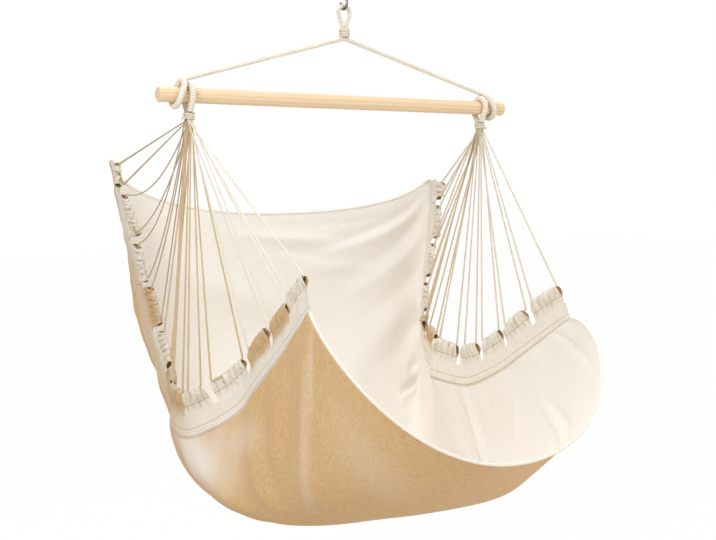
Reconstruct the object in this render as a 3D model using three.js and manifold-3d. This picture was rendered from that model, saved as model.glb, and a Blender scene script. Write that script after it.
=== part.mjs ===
// A hanging hammock chair: a canvas seat on two fans of cords, a wooden spreader bar and a rope bridle on an S-hook.
// Millimetres, +Z up. The origin is the middle of the hook's upper crook, and the sitter faces -Y.
import * as THREE from "three";
import { mergeVertices } from "three/addons/utils/BufferGeometryUtils.js";
import Module from "manifold-3d";

const wasm = await Module();
wasm.setup();

// Clearances
const touchGap = 0.3;
const cutOverrun = 20;
const weldDistance = 1e-4;

// Hook: an S bent from round wire, its two crooks on one line of pull
const hook = {
  wireRadius: 3,
  bendRadius: 14,
  crookSpacing: 48,
  tipAngle: 200,
  arcSteps: 12,
  sides: 10,
};

// Rope bridle: the eye on the hook, the thread that binds it, and the V down to the bar
const rope = {
  radius: 5,
  sides: 10,
  eyeHalfWidth: 16,
  eyeDrop: 80,
  apexRise: 156,
  apexHalfBend: 14,
  apexSteps: 6,
  footRise: 41,
  footInset: 84,
  taperSteps: 5,
  arcSteps: 12,
};
const binding = { cordRadius: 1.6, turnGap: 0.6, turns: 5 };

// Spreader bar: a turned dowel with rounded ends
const bar = { length: 1000, radius: 17.5, endRounding: 5, sides: 32, roundingSteps: 3 };

// Served rope rings that run round the bar
const ring = { radius: 7.5, sides: 10, steps: 24 };
const ropeEye = { endInset: 43, lean: 19, crownRise: 9.4 };
const clewEye = { endInset: 76, legDrop: 38, legSplayAngle: 40, arcSteps: 20 };

// Cords from the clew to the hem, twelve bights on each side
const cord = { radius: 1.5, sides: 8, packGap: 0.45, tunnelDrop: 4.2, bendRise: 5 };
const neck = { cordRadius: 1.5, turnGap: 0.6, turns: 4 };
const windingFacets = { stepsPerTurn: 24, sides: 6 };
// Cords in each column of the neck, front first; a minus sign fills the column from the outside in
const cordColumns = [-4, -4, 6, 6, 4];

// Seat cloth, measured from the bar's axis
const seat = {
  halfWidth: 490,
  depth: 1000,
  drop: 952,
  cloth: 3,
  acrossSteps: 22,
};
// Stations from the front edge to the back edge: half width, depth, left drop, right drop
const sideShares = [
  [0.735, -0.418, 0.494, 0.54],
  [0.684, -0.156, 0.71, 0.714],
  [0.773, 0.129, 0.836, 0.789],
  [0.835, 0.293, 0.631, 0.646],
  [1, 0.311, 0.164, 0.215],
];
// How far each hem strays from that curve, at thirteen places from front to back, as shares of the
// half width (outwards), the depth (backwards) and the drop (upwards)
const leftStrayShares = [
  [0, 0, 0],
  [0, 0, 0.019],
  [0, 0, 0.036],
  [0, 0, 0.04],
  [0, 0, 0.013],
  [0.14, -0.045, 0.008],
  [0.125, -0.032, 0.028],
  [0.035, -0.022, 0.016],
  [0, -0.01, 0],
  [0, 0, 0],
  [0, 0, 0],
  [0, 0, 0],
  [0, 0, 0.02],
];
const rightStrayShares = [
  [-0.015, 0, -0.014],
  [0, 0, -0.004],
  [0, 0, 0],
  [0, 0, 0],
  [-0.03, 0.01, 0],
  [-0.12, 0.025, 0.042],
  [-0.03, 0, 0.036],
  [0.012, 0, 0.04],
  [0.042, 0, 0.03],
  [0.06, 0, 0.01],
  [0.05, 0, 0],
  [0.034, 0, 0.008],
  [0, 0, 0.022],
];
// The same stations as the side edge's, on the middle line: depth, drop
const middleShares = [
  [-0.653, 0.831],
  [-0.362, 0.998],
  [0.003, 1.004],
  [0.289, 0.717],
  [0.367, 0.29],
];
// How full each section hangs: side handle, floor handle, outward lean
const fullnessShares = [
  [0.11, 0.82, 0.13],
  [1.15, 0.85, 0.14],
  [1.52, 0.5, 0.05],
  [1.28, 0.51, 0.01],
  [1.02, 0.92, 0],
];
const sideHandleDepthShare = 0.35;
// Step on the surface over which slopes are measured, as a share of its width or length
const slopeStepShare = 0.004;
// Over this stretch of the length the cloth comes to leave its hem in the band's own plane
const bandFollowStart = 0.4;
const bandFollowEnd = 0.62;
// Main folds: from (across, along) to (across, along), across -1 at the left hem and 1 at the right
const folds = [
  { shares: [0.86, 0.42, 0.3, 0.12], width: 42, height: -12 },
  { shares: [-0.78, 0.34, -0.5, 0.06], width: 60, height: 10 },
  { shares: [-0.62, 0.3, -0.2, 0.2], width: 70, height: -9 },
  { shares: [-0.7, 0.96, 0.1, 0.84], width: 55, height: -8 },
  { shares: [-0.1, 0.82, 0.75, 0.95], width: 55, height: 9 },
  { shares: [0.1, 0.7, 0.85, 0.8], width: 60, height: -8 },
  { shares: [0.9, 0.66, 0.55, 0.5], width: 45, height: 12 },
];

// Share of the half width and of the length over which folds fade out towards the hems
const foldFade = { across: 0.2, along: 0.17 };
// Share of its height that a fold keeps at its ends
const foldEndPhase = 0.15;

// Rolled hems on the front and back edges
const roll = { radius: 3.6, sides: 8, endShare: 0.97, slopeStepShare: 0.01 };

// Hem casings: a doubled band along each side with a tunnel for the cords, cut into tabs
const casing = {
  tabs: 12,
  stepsPerTab: 2,
  lastTabShare: 0.6,
  band: 38,
  bandThickness: 3,
  doubledHeight: 26,
  tunnelHalfHeight: 15,
  tunnelHalfThickness: 6.9,
  wall: 1.8,
  tunnelSides: 8,
};
const notch = { width: 26, shoulder: 12, arcSteps: 4, shoulderShare: 0.3 };
// Share of a notch's shoulder at which a cord dips into its tunnel
const mouthShare = 1 / 3;
// Points on the side edges at which their length is taken
const edgeSamples = 240;
// Outline of the tunnel's bulge: shares of its half height and half thickness
const bulgeShares = [
  [-1.5, 0.24],
  [-0.6, 0.9],
  [0.45, 0.95],
  [1, 0],
];
// How far the tabs tip outwards from the pull of their cords, front to back
const leftLeanDegrees = [[-20], [-18], [0], [14], [28]];
const rightLeanDegrees = [[0], [0], [0], [-12], [-2]];
// Slack of the left cords: bight, leg (0 front, 1 back) and how far the curve's middle handle drops,
// as a share of the leg's length
const leftSlack = [
  { bight: 10, leg: 1, dropShare: 0.37 },
  { bight: 10, leg: 0, dropShare: 0.26 },
  { bight: 9, leg: 1, dropShare: 0.34 },
  { bight: 9, leg: 0, dropShare: 0.21 },
  { bight: 8, leg: 1, dropShare: 0.17 },
];
const slackSteps = 5;

// Derived places along the bar and heights
const ropeEyePlace = bar.length / 2 - ropeEye.endInset;
const clewPlace = bar.length / 2 - clewEye.endInset;
const crookBottom = -hook.crookSpacing - hook.bendRadius;
const eyeCrown = crookBottom + hook.wireRadius + touchGap + rope.radius;
const apexHeight = eyeCrown - rope.eyeDrop;
const barHeight = apexHeight - rope.apexRise;
const bridleSlope = (rope.apexRise - rope.footRise) / (bar.length / 2 - rope.footInset);
const bridleTop = apexHeight - (bridleSlope * rope.apexHalfBend) / 2 + rope.radius;
const ringReach = bar.radius + touchGap + ring.radius;
const neckTop = barHeight - clewEye.legDrop;
const neckBottom = neckTop - touchGap - windingHeight(neck) - touchGap;
const bindingTop = bridleTop + touchGap + windingHeight(binding);
const up = new THREE.Vector3(0, 0, 1);

const materials = {
  steel: { color: 0x6d6a63, roughness: 0.4, metalness: 0.9 },
  rope: { color: 0xe6dcc6, roughness: 0.9, metalness: 0 },
  served: { color: 0xdcd5c0, roughness: 0.9, metalness: 0 },
  wood: { color: 0xe3c08f, roughness: 0.55, metalness: 0 },
  cord: { color: 0xd9c6a6, roughness: 0.9, metalness: 0 },
  canvas: { color: 0xd8bf98, roughness: 0.95, metalness: 0 },
  hem: { color: 0xe2d8c8, roughness: 0.95, metalness: 0 },
};

const group = new THREE.Group();

function addMesh(name, geometry, look) {
  const mesh = new THREE.Mesh(geometry, new THREE.MeshStandardMaterial(materials[look]));
  mesh.name = name;
  group.add(mesh);
}

function windingHeight({ cordRadius, turnGap, turns }) {
  return 2 * cordRadius * (turns + 1) + turnGap * turns;
}

function radians(degrees) {
  return THREE.MathUtils.degToRad(degrees);
}

// A closed geometry as a solid that can be joined and cut
function solidFrom(geometry) {
  const bare = geometry.clone();
  bare.deleteAttribute("normal");
  bare.deleteAttribute("uv");
  const merged = mergeVertices(bare, weldDistance);
  return new wasm.Manifold(
    new wasm.Mesh({
      numProp: 3,
      vertProperties: merged.attributes.position.array,
      triVerts: new Uint32Array(merged.index.array),
    }),
  );
}

function geometryFrom(solid) {
  const mesh = solid.getMesh();
  const geometry = new THREE.BufferGeometry();
  geometry.setAttribute("position", new THREE.BufferAttribute(mesh.vertProperties, 3));
  geometry.setIndex(new THREE.BufferAttribute(mesh.triVerts, 1));
  geometry.computeVertexNormals();
  return geometry;
}

function circleShape(radius, sides) {
  const corners = [];
  for (let i = 0; i < sides; i++) {
    const angle = (2 * Math.PI * i) / sides;
    corners.push(new THREE.Vector2(radius * Math.cos(angle), radius * Math.sin(angle)));
  }
  return new THREE.Shape(corners);
}

// A path whose steps are its own knots, so straight stretches take one step
class Route extends THREE.Curve {
  constructor(knots) {
    super();
    this.knots = knots;
  }
  getSpacedPoints() {
    return this.knots;
  }
  getTangentAt(share, target = new THREE.Vector3()) {
    const last = this.knots.length - 1;
    const i = Math.round(share * last);
    const before = this.knots[Math.max(i - 1, 0)];
    const after = this.knots[Math.min(i + 1, last)];
    const here = this.knots[i];
    target.set(0, 0, 0);
    if (i > 0) target.add(here.clone().sub(before).normalize());
    if (i < last) target.add(after.clone().sub(here).normalize());
    return target.normalize();
  }
}

function tubeAlong(knots, radius, sides) {
  return new THREE.ExtrudeGeometry(circleShape(radius, sides), {
    steps: knots.length - 1,
    extrudePath: new Route(knots),
    bevelEnabled: false,
  });
}

// A tube that closes on itself
function closedTube(points, radius, sides) {
  const curve = new THREE.CatmullRomCurve3(points, true);
  const steps = points.length;
  const frames = curve.computeFrenetFrames(steps, true);
  const centres = curve.getSpacedPoints(steps);
  const positions = [];
  const index = [];
  for (let i = 0; i < steps; i++) {
    for (let j = 0; j < sides; j++) {
      const angle = (2 * Math.PI * j) / sides;
      const place = centres[i].clone();
      place.addScaledVector(frames.normals[i], radius * Math.cos(angle));
      place.addScaledVector(frames.binormals[i], radius * Math.sin(angle));
      positions.push(place.x, place.y, place.z);
      const next = (i + 1) % steps;
      const side = (j + 1) % sides;
      index.push(i * sides + j, next * sides + side, next * sides + j);
      index.push(i * sides + j, i * sides + side, next * sides + side);
    }
  }
  return outwards(positions, index);
}

// An indexed geometry whose faces point out
function outwards(positions, index) {
  const geometry = new THREE.BufferGeometry();
  geometry.setAttribute("position", new THREE.Float32BufferAttribute(positions, 3));
  const a = new THREE.Vector3();
  const b = new THREE.Vector3();
  const c = new THREE.Vector3();
  let volume = 0;
  for (let i = 0; i < index.length; i += 3) {
    a.fromArray(positions, 3 * index[i]);
    b.fromArray(positions, 3 * index[i + 1]);
    c.fromArray(positions, 3 * index[i + 2]);
    volume += a.dot(b.cross(c));
  }
  geometry.setIndex(volume < 0 ? index.slice().reverse() : index);
  geometry.computeVertexNormals();
  return geometry;
}

// Uniform Catmull-Rom through rows of numbers, at a share from 0 to 1
function through(rows, share) {
  const last = rows.length - 1;
  const place = THREE.MathUtils.clamp(share, 0, 1) * last;
  const i = Math.min(Math.floor(place), last - 1);
  const t = place - i;
  return rows[i].map((value, column) => {
    const p1 = value;
    const p2 = rows[i + 1][column];
    const p0 = i > 0 ? rows[i - 1][column] : 2 * p1 - p2;
    const p3 = i + 2 <= last ? rows[i + 2][column] : 2 * p2 - p1;
    const linear = (p2 - p0) * t;
    const square = (2 * p0 - 5 * p1 + 4 * p2 - p3) * t * t;
    const cubic = (3 * p1 - p0 - 3 * p2 + p3) * t * t * t;
    return 0.5 * (2 * p1 + linear + square + cubic);
  });
}

// A place on the curve that the cloth's side edge follows
function edgeCurve(sideOf, along) {
  const [width, depth, leftDrop, rightDrop] = through(sideShares, along);
  const drop = (sideOf < 0 ? leftDrop : rightDrop) * seat.drop;
  return new THREE.Vector3(sideOf * width * seat.halfWidth, depth * seat.depth, barHeight - drop);
}

// A place on the cloth's side edge
function edgePlace(sideOf, along) {
  const [out, back, rise] = through(sideOf < 0 ? leftStrayShares : rightStrayShares, along);
  const stray = new THREE.Vector3(sideOf * out * seat.halfWidth, back * seat.depth, rise * seat.drop);
  return edgeCurve(sideOf, along).add(stray);
}

// The hem's frame: along the edge, up its band towards the neck, and out of its plane
function hemFrame(sideOf, along) {
  const origin = edgePlace(sideOf, along);
  const after = edgePlace(sideOf, Math.min(along + slopeStepShare, 1));
  const before = edgePlace(sideOf, Math.max(along - slopeStepShare, 0));
  const tangent = after.sub(before).normalize();
  const rise = new THREE.Vector3(sideOf * clewPlace, 0, neckBottom).sub(origin);
  rise.addScaledVector(tangent, -rise.dot(tangent)).normalize();
  const [lean] = through(sideOf < 0 ? leftLeanDegrees : rightLeanDegrees, along);
  rise.applyAxisAngle(tangent, sideOf * radians(lean));
  const outward = new THREE.Vector3().crossVectors(rise, tangent).multiplyScalar(sideOf);
  return { origin, tangent, rise, outward: outward.normalize() };
}

// The cloth's smooth surface: across from -1 (left) to 1 (right), along from 0 (front) to 1 (back)
function smoothCloth(across, along) {
  const sideOf = across < 0 ? -1 : 1;
  const [middleDepth, middleDrop] = through(middleShares, along);
  const [sideHandle, floorHandle, lean] = through(fullnessShares, along);
  const { origin: start, rise } = hemFrame(sideOf, along);
  const end = new THREE.Vector3(0, middleDepth * seat.depth, barHeight - middleDrop * seat.drop);
  const curve = edgeCurve(sideOf, along);
  const reach = Math.abs(curve.x);
  const handle = new THREE.Vector3(
    sideOf * lean * reach,
    sideHandleDepthShare * (end.y - curve.y),
    sideHandle * (end.z - curve.z),
  );
  const inBandShare = THREE.MathUtils.smoothstep(along, bandFollowStart, bandFollowEnd);
  handle.lerp(rise.multiplyScalar(-handle.length()), inBandShare);
  const first = curve.lerp(start, inBandShare).add(handle);
  const second = new THREE.Vector3(sideOf * floorHandle * reach, end.y, end.z);
  return new THREE.CubicBezierCurve3(start, first, second, end).getPoint(1 - Math.abs(across));
}

// The cloth's unit normal, away from the sitter
function clothNormal(across, along, surface = smoothCloth) {
  const left = surface(Math.max(across - slopeStepShare, -1), along);
  const right = surface(Math.min(across + slopeStepShare, 1), along);
  const front = surface(across, Math.max(along - slopeStepShare, 0));
  const back = surface(across, Math.min(along + slopeStepShare, 1));
  return back.sub(front).cross(right.sub(left)).normalize();
}

// The surface with its main folds, which fade out towards the hems
function foldedCloth(across, along) {
  const place = smoothCloth(across, along);
  const toSide = (1 - Math.abs(across)) / foldFade.across;
  const toEnd = Math.min(along, 1 - along) / foldFade.along;
  const fade = Math.min(1, toSide, toEnd);
  if (fade <= 0) return place;
  let height = 0;
  for (const fold of folds) {
    const [x0, y0, x1, y1] = fold.shares;
    const run = new THREE.Vector2((x1 - x0) * seat.halfWidth, (y1 - y0) * seat.depth);
    const from = new THREE.Vector2((across - x0) * seat.halfWidth, (along - y0) * seat.depth);
    const share = THREE.MathUtils.clamp(from.dot(run) / run.lengthSq(), 0, 1);
    const off = from.addScaledVector(run, -share).length() / fold.width;
    const phase = foldEndPhase + (1 - 2 * foldEndPhase) * share;
    height += fold.height * Math.exp(-off * off) * Math.sin(Math.PI * phase);
  }
  return place.addScaledVector(clothNormal(across, along), height * fade);
}

function buildHook() {
  const lean = Math.asin((2 * hook.bendRadius) / hook.crookSpacing);
  const knots = [];
  const first = radians(hook.tipAngle);
  for (let i = 0; i <= hook.arcSteps; i++) {
    const angle = first + ((-lean - first) * i) / hook.arcSteps;
    knots.push(onCrook(0, angle));
  }
  for (let i = 0; i <= hook.arcSteps; i++) {
    const angle = Math.PI - lean + ((first + lean) * i) / hook.arcSteps;
    knots.push(onCrook(-hook.crookSpacing, angle));
  }
  addMesh("s_hook", tubeAlong(knots, hook.wireRadius, hook.sides), "steel");
}

function onCrook(height, angle) {
  return new THREE.Vector3(
    0,
    hook.bendRadius * Math.cos(angle),
    height + hook.bendRadius * Math.sin(angle),
  );
}

// The bight of rope on the hook: a teardrop whose two strands come together in the binding
function buildEyeLoop() {
  const throatHalf = rope.radius + touchGap / 2;
  const throat = bindingTop;
  const belly = eyeCrown - rope.eyeHalfWidth;
  const foot = bridleTop + touchGap;
  const knots = [new THREE.Vector3(-throatHalf, 0, foot)];
  for (let i = 0; i <= rope.taperSteps; i++) {
    const share = i / rope.taperSteps;
    const ease = 0.5 - 0.5 * Math.cos(Math.PI * share);
    const half = throatHalf + (rope.eyeHalfWidth - throatHalf) * ease;
    knots.push(new THREE.Vector3(-half, 0, throat + (belly - throat) * share));
  }
  for (let i = 1; i < rope.arcSteps; i++) {
    const angle = Math.PI - (Math.PI * i) / rope.arcSteps;
    const reach = rope.eyeHalfWidth;
    knots.push(new THREE.Vector3(reach * Math.cos(angle), 0, belly + reach * Math.sin(angle)));
  }
  for (let i = rope.taperSteps + 1; i >= 0; i--) {
    const mirrored = knots[i].clone();
    mirrored.x = -mirrored.x;
    knots.push(mirrored);
  }
  addMesh("eye_loop", tubeAlong(knots, rope.radius, rope.sides), "rope");
}

// A cord wound round a bundle, one unbroken tube with a straight lead at each end
function winding({ cordRadius, turnGap, turns }, centre, bundle, topHeight) {
  const { stepsPerTurn, sides } = windingFacets;
  const reach = bundle + touchGap + cordRadius;
  const pitch = 2 * cordRadius + turnGap;
  const knots = [];
  const steps = turns * stepsPerTurn;
  for (let i = 0; i <= steps; i++) {
    const angle = (2 * Math.PI * i) / stepsPerTurn;
    const height = topHeight - cordRadius - (pitch * i) / stepsPerTurn;
    const x = centre.x + reach * Math.cos(angle);
    const y = centre.y + reach * Math.sin(angle);
    knots.push(new THREE.Vector3(x, y, height));
  }
  knots.unshift(knots[0].clone().sub(knots[1]).setLength(2 * cordRadius).add(knots[0]));
  const tail = knots[knots.length - 1];
  knots.push(tail.clone().sub(knots[knots.length - 2]).setLength(2 * cordRadius).add(tail));
  reportSelfGap(knots, cordRadius, stepsPerTurn);
  return tubeAlong(knots, cordRadius, sides);
}

// Least distance between stretches of a winding that are half a turn or more apart
function reportSelfGap(knots, cordRadius, stepsPerTurn) {
  let least = Infinity;
  knots.forEach((knot, i) => {
    for (let j = i + stepsPerTurn / 2; j < knots.length; j++) {
      least = Math.min(least, knot.distanceTo(knots[j]));
    }
  });
  console.log("least gap of a winding to itself: " + (least - 2 * cordRadius).toFixed(2) + " mm");
}

function buildBinding() {
  const bundle = 2 * rope.radius + touchGap / 2;
  addMesh("eye_whipping", winding(binding, new THREE.Vector3(), bundle, bindingTop), "cord");
}

// The V of rope: from the left ring over the apex to the right ring
function buildBridle() {
  const ringGap = (ring.radius + touchGap) * Math.cos(Math.atan(bridleSlope));
  const footX = ropeEyePlace - ropeEye.lean - ringGap;
  const knots = [];
  const footLift = rope.footRise - bridleSlope * (footX - (bar.length / 2 - rope.footInset));
  knots.push(new THREE.Vector3(-footX, 0, barHeight + footLift));
  for (let i = 0; i <= rope.apexSteps; i++) {
    const share = (2 * i) / rope.apexSteps - 1;
    const x = share * rope.apexHalfBend;
    const dip = (bridleSlope * rope.apexHalfBend * (1 + share * share)) / 2;
    knots.push(new THREE.Vector3(x, 0, apexHeight - dip));
  }
  knots.push(new THREE.Vector3(footX, 0, barHeight + footLift));
  addMesh("suspension_rope", tubeAlong(knots, rope.radius, rope.sides), "rope");
}

function buildBar() {
  const half = bar.length / 2;
  const profile = [new THREE.Vector2(0, -half)];
  for (let i = 0; i <= bar.roundingSteps; i++) {
    const angle = (Math.PI / 2) * (i / bar.roundingSteps);
    const radius = bar.radius - bar.endRounding * (1 - Math.sin(angle));
    profile.push(new THREE.Vector2(radius, -half + bar.endRounding * (1 - Math.cos(angle))));
  }
  for (let i = profile.length - 1; i >= 0; i--) {
    profile.push(new THREE.Vector2(profile[i].x, -profile[i].y));
  }
  const geometry = new THREE.LatheGeometry(profile, bar.sides);
  geometry.rotateZ(-Math.PI / 2);
  geometry.translate(0, 0, barHeight);
  addMesh("spreader_bar", geometry, "wood");
}

// A served end of the bridle rope: a ring round the bar whose crown leans in towards the V
function buildRopeEye(name, sideOf) {
  const points = [];
  for (let i = 0; i < ring.steps; i++) {
    const angle = (2 * Math.PI * i) / ring.steps;
    const crown = ((1 + Math.cos(angle)) / 2) ** 2;
    const reach = ringReach + ropeEye.crownRise * crown * crown;
    const x = sideOf * (ropeEyePlace - ropeEye.lean * crown);
    const y = -reach * Math.sin(angle);
    points.push(new THREE.Vector3(x, y, barHeight + reach * Math.cos(angle)));
  }
  addMesh(name, closedTube(points, ring.radius, ring.sides), "served");
}

// The served eye of the clew: over the bar, with both legs down to the neck
function buildClewEye(name, sideOf) {
  const { arcSteps } = clewEye;
  const legHalf = ring.radius + touchGap;
  const x = sideOf * clewPlace;
  const splay = radians(clewEye.legSplayAngle);
  const legTop = new THREE.Vector3(x, -ringReach * Math.cos(splay), -ringReach * Math.sin(splay));
  const legFoot = new THREE.Vector3(x, -legHalf, -clewEye.legDrop);
  const legBend = new THREE.Vector3(x, -legHalf, -clewEye.legDrop + ring.radius / 2);
  const frontLeg = [legFoot, legBend, legBend.clone().lerp(legTop, 0.5)];
  const knots = [...frontLeg];
  for (let i = 0; i <= arcSteps; i++) {
    const angle = -splay + ((Math.PI + 2 * splay) * i) / arcSteps;
    knots.push(new THREE.Vector3(x, -ringReach * Math.cos(angle), ringReach * Math.sin(angle)));
  }
  for (const { y, z } of frontLeg.reverse()) knots.push(new THREE.Vector3(x, -y, z));
  for (const knot of new Set(knots)) knot.z += barHeight;
  addMesh(name, tubeAlong(knots, ring.radius, ring.sides), "served");
}

// Places of the cords in the neck, front column first
function packedPlaces(sideOf) {
  const pitch = 2 * cord.radius + cord.packGap;
  const places = [];
  cordColumns.forEach((signedCount, column) => {
    const count = Math.abs(signedCount);
    const y = (column - (cordColumns.length - 1) / 2) * pitch * Math.sin(Math.PI / 3);
    for (let i = 0; i < count; i++) {
      const outward = Math.sign(signedCount) * (i - (count - 1) / 2) * pitch;
      places.push(new THREE.Vector3(sideOf * (clewPlace + outward), y, neckTop - touchGap));
    }
  });
  return places;
}

// Distance from the neck's middle to the outside of its furthest cord
function bundleRadius() {
  const reaches = packedPlaces(1).map(({ x, y }) => Math.hypot(x - clewPlace, y));
  return Math.max(...reaches) + cord.radius;
}

function buildNeck(name, sideOf) {
  const centre = new THREE.Vector3(sideOf * clewPlace, 0, 0);
  addMesh(name, winding(neck, centre, bundleRadius(), neckTop - touchGap), "cord");
}

// Length of hem up to a row, in whole tabs
function tabsUpTo(step) {
  const whole = (casing.tabs - 1) * casing.stepsPerTab;
  const steps = Math.min(step, whole) + casing.lastTabShare * Math.max(step - whole, 0);
  return steps / casing.stepsPerTab;
}

// Shares along the seat at which both side edges, taken together, have run each half tab
function tabRows(steps) {
  const lengths = [0];
  for (let i = 1; i <= edgeSamples; i++) {
    const run = [-1, 1].map((sideOf) =>
      edgePlace(sideOf, i / edgeSamples).distanceTo(edgePlace(sideOf, (i - 1) / edgeSamples)),
    );
    lengths.push(lengths[i - 1] + (run[0] + run[1]) / 2);
  }
  const rows = [];
  let i = 0;
  for (let step = 0; step <= steps; step++) {
    const wanted = (lengths[edgeSamples] * tabsUpTo(step)) / tabsUpTo(steps);
    while (i < edgeSamples - 1 && lengths[i + 1] < wanted) i++;
    const part = (wanted - lengths[i]) / (lengths[i + 1] - lengths[i]);
    rows.push(Math.min((i + part) / edgeSamples, 1));
  }
  return rows;
}

// One side's hem: a frame at each row of the cloth, with the way to the neck as up
class Hem {
  constructor(sideOf, rows) {
    this.sideOf = sideOf;
    this.steps = rows.length - 1;
    this.frames = rows.map((along) => hemFrame(sideOf, along));
  }

  // A place by step, height above the cloth's edge and distance out of the band's plane
  place(step, height, out = 0) {
    const low = Math.min(Math.floor(step), this.steps - 1);
    const share = step - low;
    const places = [this.frames[low], this.frames[low + 1]].map(({ origin, rise, outward }) =>
      origin.clone().addScaledVector(rise, height).addScaledVector(outward, out),
    );
    return places[0].lerp(places[1], share);
  }
}

// A solid swept along the hem: the section is a list of (height, out) points
function sweptHem(hem, section) {
  const positions = [];
  const index = [];
  const count = section.length;
  const outline = section.map(([height, out]) => new THREE.Vector2(height, out));
  if (THREE.ShapeUtils.isClockWise(outline)) outline.reverse();
  for (let step = 0; step <= hem.steps; step++) {
    for (const { x, y } of outline) positions.push(...hem.place(step, x, y).toArray());
  }
  for (let step = 0; step < hem.steps; step++) {
    for (let j = 0; j < count; j++) {
      const here = step * count + j;
      const beside = step * count + ((j + 1) % count);
      index.push(here, beside, beside + count, here, beside + count, here + count);
    }
  }
  const last = hem.steps * count;
  for (const [a, b, c] of THREE.ShapeUtils.triangulateShape(outline, [])) {
    index.push(c, b, a, last + a, last + b, last + c);
  }
  return outwards(positions, index);
}

function casingSection() {
  const half = casing.bandThickness / 2;
  const middle = tunnelMiddle();
  const upper = [[seat.cloth / 2 + touchGap, half]];
  for (const [heightShare, thicknessShare] of bulgeShares) {
    const out = Math.max(thicknessShare * casing.tunnelHalfThickness, 0);
    upper.push([middle + heightShare * casing.tunnelHalfHeight, out]);
  }
  const lower = upper.slice(0, -1).reverse();
  return [...upper, ...lower.map(([height, out]) => [height, -out])];
}

function tunnelMiddle() {
  return casing.band + casing.doubledHeight + casing.tunnelHalfHeight;
}

// The tunnel through the tabs, a flattened octagon
function tunnelSection() {
  const points = [];
  const tall = casing.tunnelHalfHeight - casing.wall;
  const wide = casing.tunnelHalfThickness - casing.wall;
  for (let i = 0; i < casing.tunnelSides; i++) {
    const angle = (2 * Math.PI * i) / casing.tunnelSides;
    points.push([tunnelMiddle() + tall * Math.cos(angle), wide * Math.sin(angle)]);
  }
  return points;
}

// The U-shaped cutter between two tabs, with round shoulders at its mouth
function notchCutter(hem, step) {
  const frame = hem.frames[step];
  const half = notch.width / 2;
  const floor = casing.band + half;
  const top = tunnelMiddle() + casing.tunnelHalfHeight;
  const shoulder = top - notch.shoulderShare * (top - floor);
  const outline = new THREE.Shape();
  outline.moveTo(-half - notch.shoulder, top + touchGap);
  outline.lineTo(-half, shoulder);
  for (let i = 0; i <= notch.arcSteps; i++) {
    const angle = Math.PI + (Math.PI * i) / notch.arcSteps;
    outline.lineTo(half * Math.cos(angle), floor + half * Math.sin(angle));
  }
  outline.lineTo(half, shoulder);
  outline.lineTo(half + notch.shoulder, top + touchGap);
  outline.lineTo(half + notch.shoulder, top + cutOverrun);
  outline.lineTo(-half - notch.shoulder, top + cutOverrun);
  const geometry = new THREE.ExtrudeGeometry(outline, { depth: 2 * cutOverrun, bevelEnabled: false });
  geometry.translate(0, 0, -cutOverrun);
  const depthAxis = new THREE.Vector3().crossVectors(frame.tangent, frame.rise);
  const place = new THREE.Matrix4().makeBasis(frame.tangent, frame.rise, depthAxis);
  geometry.applyMatrix4(place.setPosition(frame.origin));
  return solidFrom(geometry);
}

function buildCasing(name, hem) {
  let solid = solidFrom(sweptHem(hem, casingSection()));
  solid = solid.subtract(solidFrom(sweptHem(hem, tunnelSection())));
  for (let tab = 0; tab <= casing.tabs; tab++) {
    solid = solid.subtract(notchCutter(hem, tab * casing.stepsPerTab));
  }
  addMesh(name, geometryFrom(solid), "hem");
}

// One cord: from the neck down into the notch, through the tab's tunnel and back up
function buildBight(name, hem, bight, places) {
  const first = bight * casing.stepsPerTab;
  const middle = first + casing.stepsPerTab / 2;
  const height = tunnelMiddle() + casing.tunnelHalfHeight - casing.wall - cord.tunnelDrop;
  const knots = [];
  [0, 1].forEach((leg) => {
    const end = leg === 0 ? first : first + casing.stepsPerTab;
    const notchPlace = hem.place(end, height);
    const inwards = hem.place(middle, height).sub(notchPlace).normalize();
    const squareness = Math.abs(inwards.dot(hem.frames[end].tangent));
    const edge = notch.width / 2 / squareness;
    const inTunnel = edge + mouthShare * notch.shoulder;
    const mouth = notchPlace.clone().addScaledVector(inwards, inTunnel);
    const start = places[2 * bight + leg];
    const neckExit = start.clone().setZ(neckBottom);
    const bend = notchPlace.clone().addScaledVector(inwards, edge);
    const toHem = bend.clone().sub(neckExit).normalize();
    bend.addScaledVector(toHem, -cord.bendRise);
    const turn = neckExit.clone().addScaledVector(toHem.clone().sub(up), cord.radius);
    const down = [start, turn, ...slackPoints(hem, bight, leg, turn, bend), bend, mouth];
    if (leg === 0) knots.push(...down, hem.place(middle, height));
    else knots.push(...down.reverse());
  });
  addMesh(name, tubeAlong(knots, cord.radius, cord.sides), "cord");
}

// Points of a leg that hangs slack, none where it is taut
function slackPoints(hem, bight, leg, from, to) {
  const entry = leftSlack.find((slack) => slack.bight === bight && slack.leg === leg);
  if (!entry || hem.sideOf > 0) return [];
  const handle = from.clone().lerp(to, 0.5);
  handle.z -= entry.dropShare * from.distanceTo(to);
  const curve = new THREE.QuadraticBezierCurve3(from, handle, to);
  const points = [];
  for (let i = 1; i < slackSteps; i++) points.push(curve.getPoint(i / slackSteps));
  return points;
}

function buildCords(side, hem) {
  const places = packedPlaces(hem.sideOf);
  for (let bight = 0; bight < casing.tabs; bight++) {
    const number = String(bight + 1).padStart(2, "0");
    buildBight(side + "_cord_" + number, hem, bight, places);
  }
}

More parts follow.
